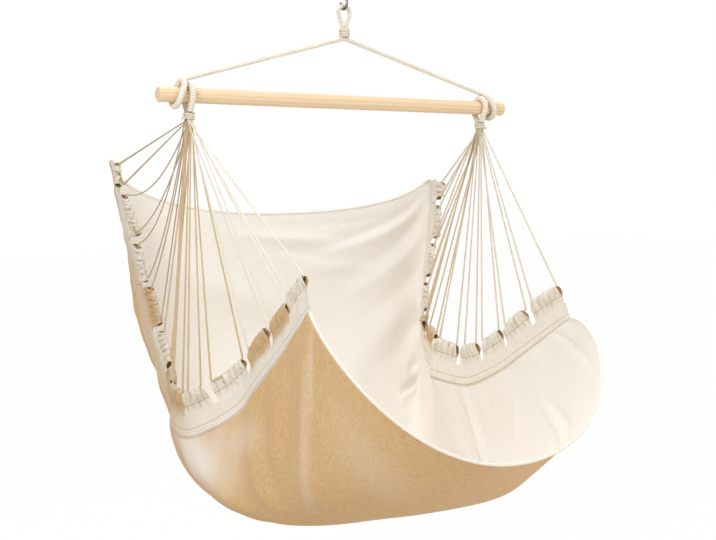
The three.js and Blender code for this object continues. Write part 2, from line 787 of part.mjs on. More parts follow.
// The seat: a sheet of even thickness on the folded surface
function buildCloth(rows) {
  const { acrossSteps, cloth } = seat;
  const alongSteps = rows.length - 1;
  const columns = acrossSteps + 1;
  const positions = [];
  const index = [];
  for (const offset of [cloth / 2, -cloth / 2]) {
    for (const along of rows) {
      for (let i = 0; i <= acrossSteps; i++) {
        const across = (2 * i) / acrossSteps - 1;
        const place = foldedCloth(across, along);
        place.addScaledVector(clothNormal(across, along, foldedCloth), offset);
        positions.push(...place.toArray());
      }
    }
  }
  const inner = columns * rows.length;
  for (let j = 0; j < alongSteps; j++) {
    for (let i = 0; i < acrossSteps; i++) {
      const a = j * columns + i;
      const b = a + columns;
      index.push(a, a + 1, b + 1, a, b + 1, b);
      index.push(inner + a, inner + b + 1, inner + a + 1, inner + a, inner + b, inner + b + 1);
    }
  }
  const rim = [];
  for (let i = 0; i < acrossSteps; i++) rim.push(i);
  for (let j = 0; j < alongSteps; j++) rim.push(j * columns + acrossSteps);
  for (let i = acrossSteps; i > 0; i--) rim.push(alongSteps * columns + i);
  for (let j = alongSteps; j > 0; j--) rim.push(j * columns);
  rim.forEach((a, i) => {
    const b = rim[(i + 1) % rim.length];
    index.push(a, inner + b, b, a, inner + a, inner + b);
  });
  addMesh("seat_cloth", outwards(positions, index), "canvas");
}

// A rolled hem just off the cloth's front or back edge
function buildRoll(name, along) {
  const inwardShare = roll.slopeStepShare;
  const knots = [];
  for (let i = 0; i <= seat.acrossSteps; i++) {
    const across = THREE.MathUtils.clamp((2 * i) / seat.acrossSteps - 1, -roll.endShare, roll.endShare);
    const edge = smoothCloth(across, along);
    const away = edge.clone().sub(smoothCloth(across, Math.abs(along - inwardShare)));
    const run = smoothCloth(across + inwardShare, along).sub(smoothCloth(across - inwardShare, along));
    away.projectOnPlane(run.normalize()).setLength(roll.radius + 2 * touchGap);
    knots.push(edge.add(away));
  }
  addMesh(name, tubeAlong(knots, roll.radius, roll.sides), "hem");
}

const rows = tabRows(casing.tabs * casing.stepsPerTab);
const leftHem = new Hem(-1, rows);
const rightHem = new Hem(1, rows);

buildHook();
buildEyeLoop();
buildBinding();
buildBridle();
buildBar();
buildRopeEye("left_rope_eye", -1);
buildRopeEye("right_rope_eye", 1);
buildClewEye("left_clew_eye", -1);
buildClewEye("right_clew_eye", 1);
buildNeck("left_neck_whipping", -1);
buildNeck("right_neck_whipping", 1);
buildCords("left", leftHem);
buildCords("right", rightHem);
buildCasing("left_hem_casing", leftHem);
buildCasing("right_hem_casing", rightHem);
buildCloth(rows);
buildRoll("front_hem", 0);
buildRoll("back_hem", 1);

export default group;
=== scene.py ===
"""A hanging hammock chair: canvas seat, hem tabs, cord fans, rope bridle, turned bar and S-hook.

Sizes are in millimetres in the part's frame (+Z up, the sitter faces -Y) and turn to metres where
a mesh is made.
"""

import logging
import math
from dataclasses import dataclass, field
from enum import Enum
from typing import Any, Callable, Iterable, Optional, Sequence

import bpy
import numpy as np
from mathutils import Matrix, Vector


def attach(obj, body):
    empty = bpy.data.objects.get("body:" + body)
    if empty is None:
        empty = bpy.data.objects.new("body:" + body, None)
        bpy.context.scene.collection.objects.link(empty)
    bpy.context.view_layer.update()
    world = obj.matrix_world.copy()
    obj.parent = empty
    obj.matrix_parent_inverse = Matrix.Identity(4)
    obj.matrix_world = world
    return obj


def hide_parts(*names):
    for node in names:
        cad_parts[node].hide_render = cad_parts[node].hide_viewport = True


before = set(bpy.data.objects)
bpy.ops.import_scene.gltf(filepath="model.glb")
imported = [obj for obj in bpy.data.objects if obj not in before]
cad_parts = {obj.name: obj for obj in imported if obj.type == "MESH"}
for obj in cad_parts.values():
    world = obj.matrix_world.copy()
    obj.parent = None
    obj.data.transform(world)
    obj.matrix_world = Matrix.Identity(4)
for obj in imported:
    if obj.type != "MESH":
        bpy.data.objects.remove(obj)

MM = 0.001
# Share of light that a tab keeps: cream keeps all of it, and brown is painted shade on the tabs and band
# that lie in shade
CREAM = np.array([1.0, 1.0, 1.0])
BROWN = np.array([0.78, 0.59, 0.38])
WHITE = (1.0, 1.0, 1.0, 1.0)
# The left fan's slack legs, by bight and leg: how far each one's handle drops, in leg lengths
LEFT_SLACK = {(10, 1): 0.37, (10, 0): 0.26, (9, 1): 0.34, (9, 0): 0.21, (8, 1): 0.17}
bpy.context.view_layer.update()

log = logging.getLogger("hammock_chair")

Numbers = np.ndarray
Piece = bpy.types.Object
Material = bpy.types.Material
Tree = bpy.types.NodeTree


class Side(Enum):
    """The end of the bar that a piece hangs from, seen by the camera."""

    LEFT = -1
    RIGHT = 1


def linear(code: str) -> tuple[float, float, float, float]:
    """Turns an sRGB hex colour to linear light, with a fourth channel of 1."""
    channels = [int(code[i : i + 2], 16) / 255 for i in (0, 2, 4)]
    straight = [c / 12.92 if c <= 0.04045 else ((c + 0.055) / 1.055) ** 2.4 for c in channels]
    return (straight[0], straight[1], straight[2], 1.0)


def add_node(
    tree: Tree, kind: str, inputs: Optional[dict[Any, Any]] = None, **settings: Any
) -> bpy.types.Node:
    """Adds one node with its own settings and its inputs.

    Args:
        tree: the material's or world's node tree.
        kind: the node's type name without its prefix.
        inputs: for each socket a fixed value, or the output or node that feeds it.
        settings: properties of the node itself.

    Returns:
        The new node.
    """
    node = tree.nodes.new("ShaderNode" + kind)
    for name, value in settings.items():
        setattr(node, name, value)
    for socket, value in (inputs or {}).items():
        source = value.outputs[0] if isinstance(value, bpy.types.Node) else value
        if isinstance(source, bpy.types.NodeSocket):
            tree.links.new(source, node.inputs[socket])
        else:
            node.inputs[socket].default_value = source
    return node


def new_tree(name: str) -> tuple[Material, Tree]:
    """Makes an empty node material and gives its tree as well."""
    material = bpy.data.materials.new(name)
    material.use_nodes = True
    material.node_tree.nodes.clear()
    return material, material.node_tree


def finish_tree(tree: Tree, inputs: dict[str, Any]) -> None:
    """Ends a material in a Principled shader with the given inputs."""
    shader = add_node(tree, "BsdfPrincipled", inputs)
    add_node(tree, "OutputMaterial", {"Surface": shader})


@dataclass(frozen=True)
class PlainWovenCanvas:
    """Undyed cotton canvas in a plain weave.

    Matt, soft and a little fuzzy: it has no glossy highlight, its threads show as a fine grid close by,
    and thicker slubs streak it along both thread directions. Painted shade and a painted highlight can go
    on top, from the mesh's tint attribute.
    """

    name: str
    colour: str
    shade: str
    slub: float
    mottle: float
    # Real canvas has about 0.8 mm between threads; it is drawn at 1.6 mm so that it still shows.
    thread_mm: float = 1.6
    slub_length_mm: float = 16.0
    mottle_mm: float = 4.0
    bump: float = 0.35
    stitch_rows_mm: tuple[float, ...] = ()
    stitch_mm: float = 4.0
    stitch_width_mm: float = 1.1
    stitch_share: float = 0.78
    stitch_colour: str = "b79f7c"
    # Whether the mesh's tint attribute multiplies the colour: painted shade, with random blotches on the
    # casing
    tinted: bool = False
    # The colour of the painted highlight on lit crests, mixed in where the mesh's attribute says so
    whitened: str = ""

    def material(self) -> Material:
        """Builds the node material, which reads the piece's UV map in metres."""
        material, tree = new_tree(self.name)
        place = add_node(tree, "TexCoord").outputs["UV"]
        parts = add_node(tree, "SeparateXYZ", {0: place})
        thread = self.thread_mm * MM
        waves, streaks = [], []
        for axis in (0, 1):
            turn = add_node(
                tree, "Math", {0: parts.outputs[axis], 1: math.pi / thread}, operation="MULTIPLY"
            )
            waves.append(add_node(tree, "Math", {0: turn}, operation="SINE"))
            scale = [1 / (2 * thread), 1 / (2 * thread), 1.0]
            scale[1 - axis] = 1 / (self.slub_length_mm * MM)
            mapped = add_node(tree, "Mapping", {0: place, "Scale": scale})
            noise = {"Vector": mapped, "Scale": 1.0, "Detail": 2.0, "Roughness": 0.5}
            streaks.append(add_node(tree, "TexNoise", noise, noise_dimensions="2D"))
        weave = add_node(tree, "Math", {0: waves[0], 1: waves[1]}, operation="MULTIPLY")
        slubs = add_node(tree, "Math", {0: streaks[0], 1: streaks[1]}, operation="ADD")
        slub_share = add_node(
            tree, "MapRange", {"Value": slubs, "From Min": 0.8, "From Max": 1.3, "To Max": self.slub}
        )
        mottles = add_node(
            tree,
            "TexNoise",
            {"Vector": place, "Scale": 1 / (self.mottle_mm * MM), "Detail": 4.0, "Roughness": 0.65},
            noise_dimensions="2D",
        )
        mottle_share = add_node(
            tree,
            "MapRange",
            {"Value": mottles, "From Min": 0.35, "From Max": 0.68, "To Max": self.mottle},
        )
        shade_share = add_node(
            tree, "Math", {0: slub_share, 1: mottle_share}, operation="ADD", use_clamp=True
        )
        cloth = {0: shade_share, 6: linear(self.colour), 7: linear(self.shade)}
        colour = add_node(tree, "Mix", cloth, data_type="RGBA").outputs[2]
        # Painted shade from the tint attribute darkens the cloth's colour
        if self.tinted:
            tint = add_node(tree, "VertexColor", layer_name="tint")
            shade_painted = {0: 1.0, 6: colour, 7: tint}
            colour = add_node(tree, "Mix", shade_painted, data_type="RGBA", blend_type="MULTIPLY").outputs[2]
        # Painted highlight: a pale colour mixed in by the tint attribute
        if self.whitened:
            share = add_node(tree, "VertexColor", layer_name="tint")
            highlit = {0: share, 6: colour, 7: linear(self.whitened)}
            colour = add_node(tree, "Mix", highlit, data_type="RGBA").outputs[2]
        height = weave
        if self.stitch_rows_mm:
            stitches = self._stitches(tree, parts)
            sewn = {0: stitches, 6: colour, 7: linear(self.stitch_colour)}
            colour = add_node(tree, "Mix", sewn, data_type="RGBA").outputs[2]
            sunk = add_node(tree, "Math", {0: stitches, 1: -4.0}, operation="MULTIPLY")
            height = add_node(tree, "Math", {0: height, 1: sunk}, operation="ADD")
        lifted = add_node(tree, "Math", {0: slubs, 1: 1.5, 2: height}, operation="MULTIPLY_ADD")
        bump = add_node(tree, "Bump", {"Height": lifted, "Strength": self.bump, "Distance": 0.18 * MM})
        fuzz = {"Specular IOR Level": 0.2, "Sheen Weight": 0.12, "Sheen Roughness": 0.5}
        finish_tree(tree, {"Base Color": colour, "Normal": bump, "Roughness": 0.92, **fuzz})
        return material

    def _stitches(self, tree: Tree, parts: bpy.types.Node) -> bpy.types.Node:
        """Masks the rows of stitches, which run along U at given heights of V.

        Args:
            tree: the material's tree.
            parts: the node that holds U and V apart.

        Returns:
            A node that is 1 on a stitch.
        """
        pitch = 1 / (self.stitch_mm * MM)
        phase = add_node(tree, "Math", {0: parts.outputs[0], 1: pitch}, operation="MULTIPLY")
        share = add_node(tree, "Math", {0: phase}, operation="FRACT")
        dash = add_node(tree, "Math", {0: share, 1: self.stitch_share}, operation="LESS_THAN")
        rows = None
        for height in self.stitch_rows_mm:
            band = {0: parts.outputs[1], 1: height * MM, 2: self.stitch_width_mm * MM / 2}
            row = add_node(tree, "Math", band, operation="COMPARE")
            rows = add_node(tree, "Math", {0: rows, 1: row}, operation="MAXIMUM") if rows else row
        return add_node(tree, "Math", {0: rows, 1: dash}, operation="MULTIPLY")


@dataclass(frozen=True)
class TwistedCotton:
    """Cotton yarns twisted into a cord, a strand or a thread.

    Matt and soft, with slanting grooves between the yarns that catch a little shade and with
    yarns of slightly different creams.
    """

    name: str
    colour: str
    groove: str
    # Length of cord in which a yarn goes once round, and the number of yarns beside each other
    lay_mm: float
    yarns: int
    around_mm: float
    groove_share: float = 0.55
    bump_mm: float = 0.35

    def material(self) -> Material:
        """Builds the node material, which reads the piece's UV map: U round it, V along it."""
        material, tree = new_tree(self.name)
        place = add_node(tree, "TexCoord").outputs["UV"]
        parts = add_node(tree, "SeparateXYZ", {0: place})
        around, along = (math.pi * self.yarns / (size * MM) for size in (self.around_mm, self.lay_mm))
        round_it = add_node(tree, "Math", {0: parts.outputs[0], 1: around}, operation="MULTIPLY")
        turns = {0: parts.outputs[1], 1: along, 2: round_it}
        slant = add_node(tree, "Math", turns, operation="MULTIPLY_ADD")
        wave = add_node(tree, "Math", {0: slant}, operation="SINE")
        crown = add_node(tree, "Math", {0: wave}, operation="ABSOLUTE")
        grooves = add_node(
            tree,
            "MapRange",
            {"Value": crown, "From Max": 0.6, "To Min": self.groove_share, "To Max": 0.0},
        )
        stretched = add_node(tree, "Mapping", {0: place, "Scale": (220.0, 26.0, 1.0)})
        noise = add_node(
            tree, "TexNoise", {"Vector": stretched, "Scale": 1.0, "Detail": 3.0}, noise_dimensions="2D"
        )
        uneven = add_node(
            tree, "MapRange", {"Value": noise, "From Min": 0.35, "From Max": 0.75, "To Max": 0.3}
        )
        share = add_node(tree, "Math", {0: grooves, 1: uneven}, operation="ADD", use_clamp=True)
        yarn = {0: share, 6: linear(self.colour), 7: linear(self.groove)}
        colour = add_node(tree, "Mix", yarn, data_type="RGBA").outputs[2]
        bump = add_node(tree, "Bump", {"Height": crown, "Strength": 0.8, "Distance": self.bump_mm * MM})
        soft = {"Roughness": 0.88, "Specular IOR Level": 0.25, "Sheen Weight": 0.1}
        finish_tree(tree, {"Base Color": colour, "Normal": bump, **soft})
        return material


@dataclass(frozen=True)
class TurnedBeech:
    """A turned and sanded dowel of pale wood under a thin matt oil.

    Growth rings show as long soft bands on the side and as arcs on the ends, with short dark
    flecks between them and a faint, broad highlight.
    """

    name: str = "turned beech"
    early: str = "efd5b1"
    late: str = "deb78a"
    fleck: str = "c4976a"
    ring_mm: float = 9.0
    pith_mm: tuple[float, float] = (24.0, -34.0)

    def material(self) -> Material:
        """Builds the node material, which reads Object coordinates along the bar."""
        material, tree = new_tree(self.name)
        place = add_node(tree, "TexCoord").outputs["Object"]
        pith = (0.0, self.pith_mm[0] * MM, self.pith_mm[1] * MM)
        centred = add_node(tree, "Mapping", {0: place, "Location": pith, "Scale": (0.035, 1.0, 1.0)})
        rough_rings = {"Distortion": 3.5, "Detail": 2.0, "Detail Scale": 1.4, "Detail Roughness": 0.55}
        rings = add_node(
            tree,
            "TexWave",
            {"Vector": centred, "Scale": 0.314 / (self.ring_mm * MM), **rough_rings},
            wave_type="RINGS",
            rings_direction="X",
            wave_profile="SAW",
        )
        ring_share = add_node(
            tree, "MapRange", {"Value": rings.outputs["Fac"], "From Min": 0.3, "To Max": 0.6}
        )
        streaked = add_node(tree, "Mapping", {0: place, "Scale": (9.0, 420.0, 420.0)})
        fibres = add_node(
            tree, "TexNoise", {"Vector": streaked, "Scale": 1.0, "Detail": 5.0, "Roughness": 0.6}
        )
        fleck_share = add_node(
            tree, "MapRange", {"Value": fibres, "From Min": 0.6, "From Max": 0.78, "To Max": 0.5}
        )
        wood = {0: ring_share, 6: linear(self.early), 7: linear(self.late)}
        ringed = add_node(tree, "Mix", wood, data_type="RGBA").outputs[2]
        flecked = {0: fleck_share, 6: ringed, 7: linear(self.fleck)}
        colour = add_node(tree, "Mix", flecked, data_type="RGBA").outputs[2]
        oil = {"Value": fibres, "From Min": 0.3, "From Max": 0.7, "To Min": 0.36, "To Max": 0.52}
        roughness = add_node(tree, "MapRange", oil)
        bump = add_node(tree, "Bump", {"Height": fibres, "Strength": 0.25, "Distance": 0.15 * MM})
        surface = {"Base Color": colour, "Roughness": roughness, "Normal": bump}
        finish_tree(tree, {"IOR": 1.5, "Specular IOR Level": 0.4, **surface})
        return material


@dataclass(frozen=True)
class GalvanisedSteel:
    """Bent steel wire with a dull zinc coat.

    Grey and metallic with a soft, blotchy highlight, darker where the coat has weathered.
    """

    name: str = "galvanised steel wire"
    bright: str = "9b9890"
    dull: str = "625f58"

    def material(self) -> Material:
        """Builds the node material, which reads Object coordinates."""
        material, tree = new_tree(self.name)
        place = add_node(tree, "TexCoord").outputs["Object"]
        blotches = add_node(tree, "TexNoise", {"Vector": place, "Scale": 160.0, "Detail": 4.0})
        zinc = {0: blotches, 6: linear(self.bright), 7: linear(self.dull)}
        colour = add_node(tree, "Mix", zinc, data_type="RGBA").outputs[2]
        coat = {"Value": blotches, "From Min": 0.3, "From Max": 0.7, "To Min": 0.28, "To Max": 0.5}
        roughness = add_node(tree, "MapRange", coat)
        bump = add_node(tree, "Bump", {"Height": blotches, "Strength": 0.2, "Distance": 0.1 * MM})
        surface = {"Base Color": colour, "Roughness": roughness, "Normal": bump}
        finish_tree(tree, {"Metallic": 1.0, **surface})
        return material


def make_mesh(
    name: str,
    points: Numbers,
    faces: Iterable[Sequence[int]],
    uvs: Optional[Numbers] = None,
    tints: Optional[Numbers] = None,
) -> Piece:
    """Makes a smooth-shaded mesh object at the origin from points in millimetres.

    Args:
        name: the object's name.
        points: one row of x, y, z for each vertex.
        faces: vertex numbers of each face, anticlockwise seen from outside.
        uvs: one row of u, v in millimetres for each corner of each face.
        tints: one row of red, green, blue for each corner of each face.

    Returns:
        The object, linked to the scene.
    """
    mesh = bpy.data.meshes.new(name)
    mesh.from_pydata((points * MM).tolist(), [], [[int(i) for i in face] for face in faces])
    if uvs is not None:
        layer = mesh.uv_layers.new(name="surface")
        layer.data.foreach_set("uv", (uvs * MM).astype(np.float32).ravel())
    if tints is not None:
        colours = mesh.color_attributes.new("tint", "FLOAT_COLOR", "CORNER")
        full = np.concatenate([tints, np.ones((len(tints), 1))], axis=1)
        colours.data.foreach_set("color", full.astype(np.float32).ravel())
    mesh.polygons.foreach_set("use_smooth", [True] * len(mesh.polygons))
    mesh.update()
    piece = bpy.data.objects.new(name, mesh)
    bpy.context.scene.collection.objects.link(piece)
    return piece


def grid_faces(rows: int, columns: int, flipped: bool = False) -> Numbers:
    """Gives the four point numbers of each face of a grid, row by row.

    Args:
        rows: rows of points.
        columns: points in each row.
        flipped: whether the faces look the other way.

    Returns:
        One row of four numbers for each face.
    """
    first = (np.arange(rows - 1)[:, None] * columns + np.arange(columns - 1)).ravel()
    faces = np.stack([first, first + columns, first + columns + 1, first + 1], axis=1)
    return faces[:, ::-1] if flipped else faces


def deselect() -> None:
    """Deselects every object."""
    for piece in list(bpy.context.selected_objects):
        piece.select_set(False)


def select_only(piece: Piece) -> None:
    """Makes one piece selected and active, and nothing else."""
    deselect()
    piece.select_set(True)
    bpy.context.view_layer.objects.active = piece


def apply_modifier(piece: Piece, kind: str, **settings: Any) -> None:
    """Adds a modifier of a kind, with its settings, and applies it."""
    select_only(piece)
    modifier = piece.modifiers.new(kind.title(), kind)
    for name, value in settings.items():
        setattr(modifier, name, value)
    bpy.ops.object.modifier_apply(modifier=modifier.name)


def thicken(piece: Piece, thickness: float) -> None:
    """Gives a sheet its thickness in millimetres, with its second finish inside and on the rim."""
    faces = {"offset": 0.0, "material_offset": 1, "material_offset_rim": 1}
    apply_modifier(piece, "SOLIDIFY", thickness=thickness * MM, **faces)


def dress(piece: Piece, material: Material, body: str, *nodes: str) -> Piece:
    """Gives a piece its finish and body, and hides the CAD nodes that it stands for.

    Args:
        piece: the finished mesh object.
        material: its finish, unless it has one already.
        body: the CAD body that it moves with.
        nodes: the CAD nodes that it replaces.

    Returns:
        The piece.
    """
    if not piece.data.materials:
        piece.data.materials.append(material)
    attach(piece, body)
    if nodes:
        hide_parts(*nodes)
    log.info("%s: %d faces", piece.name, len(piece.data.polygons))
    return piece


def side_by_side(*numbers: Numbers) -> Numbers:
    """Sets rows of numbers side by side as columns."""
    return np.stack(numbers, axis=1)


def row_lengths(points: Numbers) -> Numbers:
    """Gives the length run at each point of a path, in the points' unit."""
    steps = np.linalg.norm(np.diff(points, axis=0), axis=1)
    return np.concatenate([[0.0], np.cumsum(steps)])


def resample(points: Numbers, spacing: float) -> Numbers:
    """Puts points at even distances on a path.

    Args:
        points: the path's points.
        spacing: the wanted distance between two points.

    Returns:
        The new points, with the first and last kept.
    """
    lengths = row_lengths(points)
    count = max(int(round(lengths[-1] / spacing)), 2)
    wanted = np.linspace(0, lengths[-1], count + 1)
    return side_by_side(*(np.interp(wanted, lengths, points[:, axis]) for axis in range(3)))


def rounded(knots: Numbers, reach: float, steps: int = 5) -> Numbers:
    """Rounds the corners of a path of straight stretches.

    Args:
        knots: the path's corners.
        reach: how far from a corner the bend starts, at most 0.45 of the stretch.
        steps: points in each bend.

    Returns:
        The path with each corner replaced by a curve.
    """
    points = [knots[0]]
    for i in range(1, len(knots) - 1):
        before = knots[i - 1] - knots[i]
        after = knots[i + 1] - knots[i]
        start = knots[i] + before * min(0.45, reach / max(np.linalg.norm(before), 1e-6))
        end = knots[i] + after * min(0.45, reach / max(np.linalg.norm(after), 1e-6))
        for share in np.linspace(0, 1, steps + 1):
            keep = 1 - share
            points.append(keep**2 * start + 2 * keep * share * knots[i] + share**2 * end)
    points.append(knots[-1])
    return np.array(points)


def transported_frames(points: Numbers, closed: bool) -> tuple[Numbers, Numbers]:
    """Gives two directions square to a path at each point, with as little twist as can be.

    Args:
        points: the path.
        closed: whether the last point joins the first.

    Returns:
        The first and the second direction at each point.
    """
    count = len(points)
    if closed:
        tangents = np.roll(points, -1, axis=0) - np.roll(points, 1, axis=0)
    else:
        tangents = np.gradient(points, axis=0)
    tangents /= np.linalg.norm(tangents, axis=1)[:, None]
    least = np.argmin(np.abs(tangents[0]))
    normal = np.cross(tangents[0], np.eye(3)[least])
    normals = [normal / np.linalg.norm(normal)]
    for i in range(1, count):
        normal = normals[-1] - tangents[i] * np.dot(normals[-1], tangents[i])
        normals.append(normal / np.linalg.norm(normal))
    first = np.array(normals)
    second = np.cross(tangents, first)
    if closed:
        last = first[-1] - tangents[0] * np.dot(first[-1], tangents[0])
        turn = math.atan2(np.dot(last, second[0]), np.dot(last, first[0]))
        angles = -turn * np.arange(count) / count
        cos, sin = np.cos(angles)[:, None], np.sin(angles)[:, None]
        first, second = cos * first + sin * second, cos * second - sin * first
    return first, second


def sweep(
    name: str,
    points: Numbers,
    section: Callable[[Numbers, Numbers], Numbers],
    sides: int,
    closed: bool = False,
    squash: tuple[float, float] = (1.0, 1.0),
    frames: Optional[tuple[Numbers, Numbers]] = None,
) -> Piece:
    """Sweeps a section along a path and closes its ends.

    Args:
        name: the object's name.
        points: the path, in millimetres.
        section: gives the radius at lengths and angles, both as grids.
        sides: corners of the section.
        closed: whether the path runs back into itself.
        squash: factors on the section's two directions.
        frames: the section's two directions at each point, or None to carry them along the path.

    Returns:
        The tube as a mesh object, with U round it and V along it.
    """
    first, second = frames if frames is not None else transported_frames(points, closed)
    lengths = row_lengths(np.vstack([points, points[:1]]) if closed else points)
    angles = np.arange(sides) * 2 * math.pi / sides
    along, round_it = np.meshgrid(lengths[: len(points)], angles, indexing="ij")
    radii = section(along, round_it)
    a = (radii * np.cos(round_it) * squash[0])[..., None] * first[:, None, :]
    b = (radii * np.sin(round_it) * squash[1])[..., None] * second[:, None, :]
    vertices = (points[:, None, :] + a + b).reshape(-1, 3)
    around = 2 * math.pi * float(np.mean(radii))
    faces, uvs = [], []
    rings = len(points)
    for i in range(rings if closed else rings - 1):
        after = (i + 1) % rings
        for j in range(sides):
            beside = (j + 1) % sides
            faces.append((i * sides + j, i * sides + beside, after * sides + beside, after * sides + j))
            u0, u1 = around * j / sides, around * (j + 1) / sides
            v0, v1 = lengths[i], lengths[i + 1]
            uvs += [(u0, v0), (u1, v0), (u1, v1), (u0, v1)]
    if not closed:
        for ring, order in ((0, -1), (rings - 1, 1)):
            corners = list(range(sides))[::order]
            faces.append(tuple(ring * sides + j for j in corners))
            uvs += [(around * j / sides, lengths[ring]) for j in corners]
    return make_mesh(name, vertices, faces, np.array(uvs))


def through(rows: Sequence[Sequence[float]], share: Numbers) -> Numbers:
    """Runs a uniform Catmull-Rom curve through rows of numbers.

    Args:
        rows: the curve's stations.
        share: places along it from 0 to 1.

    Returns:
        One row of numbers for each place.
    """
    table = np.asarray(rows, float)
    last = len(table) - 1
    place = np.clip(share, 0, 1) * last
    i = np.minimum(np.floor(place).astype(int), last - 1)
    t = (place - i)[:, None]
    p1, p2 = table[i], table[i + 1]
    p0 = np.where((i > 0)[:, None], table[np.maximum(i - 1, 0)], 2 * p1 - p2)
    p3 = np.where((i + 2 <= last)[:, None], table[np.minimum(i + 2, last)], 2 * p2 - p1)
    square = (2 * p0 - 5 * p1 + 4 * p2 - p3) * t**2
    cubic = (3 * p1 - p0 - 3 * p2 + p3) * t**3
    return 0.5 * (2 * p1 + (p2 - p0) * t + square + cubic)


def unit(vectors: Numbers) -> Numbers:
    """Scales each row to length one."""
    return vectors / np.maximum(np.linalg.norm(vectors, axis=1), 1e-9)[:, None]


@dataclass
class Rigging:
    """Heights and places that the hook, ropes, bar and cords share, from the hook's middle down."""

    wire_radius: float = 3.0
    bend_radius: float = 14.0
    crook_spacing: float = 48.0
    rope_radius: float = 5.0
    gap: float = 0.3
    eye_half_width: float = 16.0
    eye_drop: float = 80.0
    apex_rise: float = 156.0
    apex_half_bend: float = 14.0
    foot_rise: float = 41.0
    foot_inset: float = 84.0
    bar_length: float = 1000.0
    bar_radius: float = 17.5
    ring_radius: float = 7.5
    rope_eye_place: float = 457.0
    rope_eye_lean: float = 19.0
    rope_eye_crown_rise: float = 9.4
    clew_place: float = 424.0
    clew_leg_drop: float = 38.0
    clew_splay_degrees: float = 40.0
    cord_radius: float = 1.5
    neck_turns: int = 4
    turn_gap: float = 0.6
    # Cords in each column of the neck, front first; a minus sign fills it from the outside in
    neck_columns: tuple[int, ...] = (-4, -4, 6, 6, 4)
    pack_gap: float = 0.45

    def neck_places(self, side: Side) -> Numbers:
        """Gives the places of the cords in one neck, front column first."""
        pitch = 2 * self.cord_radius + self.pack_gap
        places = []
        for column, signed in enumerate(self.neck_columns):
            count = abs(signed)
            y = (column - (len(self.neck_columns) - 1) / 2) * pitch * math.sin(math.pi / 3)
            for i in range(count):
                outward = math.copysign(1, signed) * (i - (count - 1) / 2) * pitch
                x = side.value * (self.clew_place + outward)
                places.append((x, y, self.neck_top - self.gap))
        return np.array(places)

    @property
    def bundle_radius(self) -> float:
        """Distance from the neck's middle to the outside of its furthest cord."""
        places = self.neck_places(Side.RIGHT)
        return float(np.hypot(places[:, 0] - self.clew_place, places[:, 1]).max()) + self.cord_radius

    @property
    def crook_bottom(self) -> float:
        """Height of the lower crook's lowest middle line."""
        return -self.crook_spacing - self.bend_radius

    @property
    def eye_crown(self) -> float:
        """Height of the rope's middle line where it hangs on the crook."""
        return self.crook_bottom + self.wire_radius + self.gap + self.rope_radius

    @property
    def apex(self) -> float:
        """Height of the bridle's apex."""
        return self.eye_crown - self.eye_drop

    @property
    def bar(self) -> float:
        """Height of the bar's axis."""
        return self.apex - self.apex_rise

    @property
    def slope(self) -> float:
        """Fall of the bridle per millimetre along the bar."""
        return (self.apex_rise - self.foot_rise) / (self.bar_length / 2 - self.foot_inset)

    @property
    def bridle_top(self) -> float:
        """Height of the top of the rope at the apex."""
        return self.apex - self.slope * self.apex_half_bend / 2 + self.rope_radius

    @property
    def ring_reach(self) -> float:
        """Distance from the bar's axis to the middle of a ring's rope."""
        return self.bar_radius + self.gap + self.ring_radius

    @property
    def neck_top(self) -> float:
        """Height at which the clew eye's legs end and the cords begin."""
        return self.bar - self.clew_leg_drop

    @property
    def neck_height(self) -> float:
        """Height of the whipping on the neck."""
        return 2 * self.cord_radius * (self.neck_turns + 1) + self.turn_gap * self.neck_turns

    @property
    def neck_bottom(self) -> float:
        """Height at which the cords leave the whipping."""
        return self.neck_top - self.neck_height - 2 * self.gap


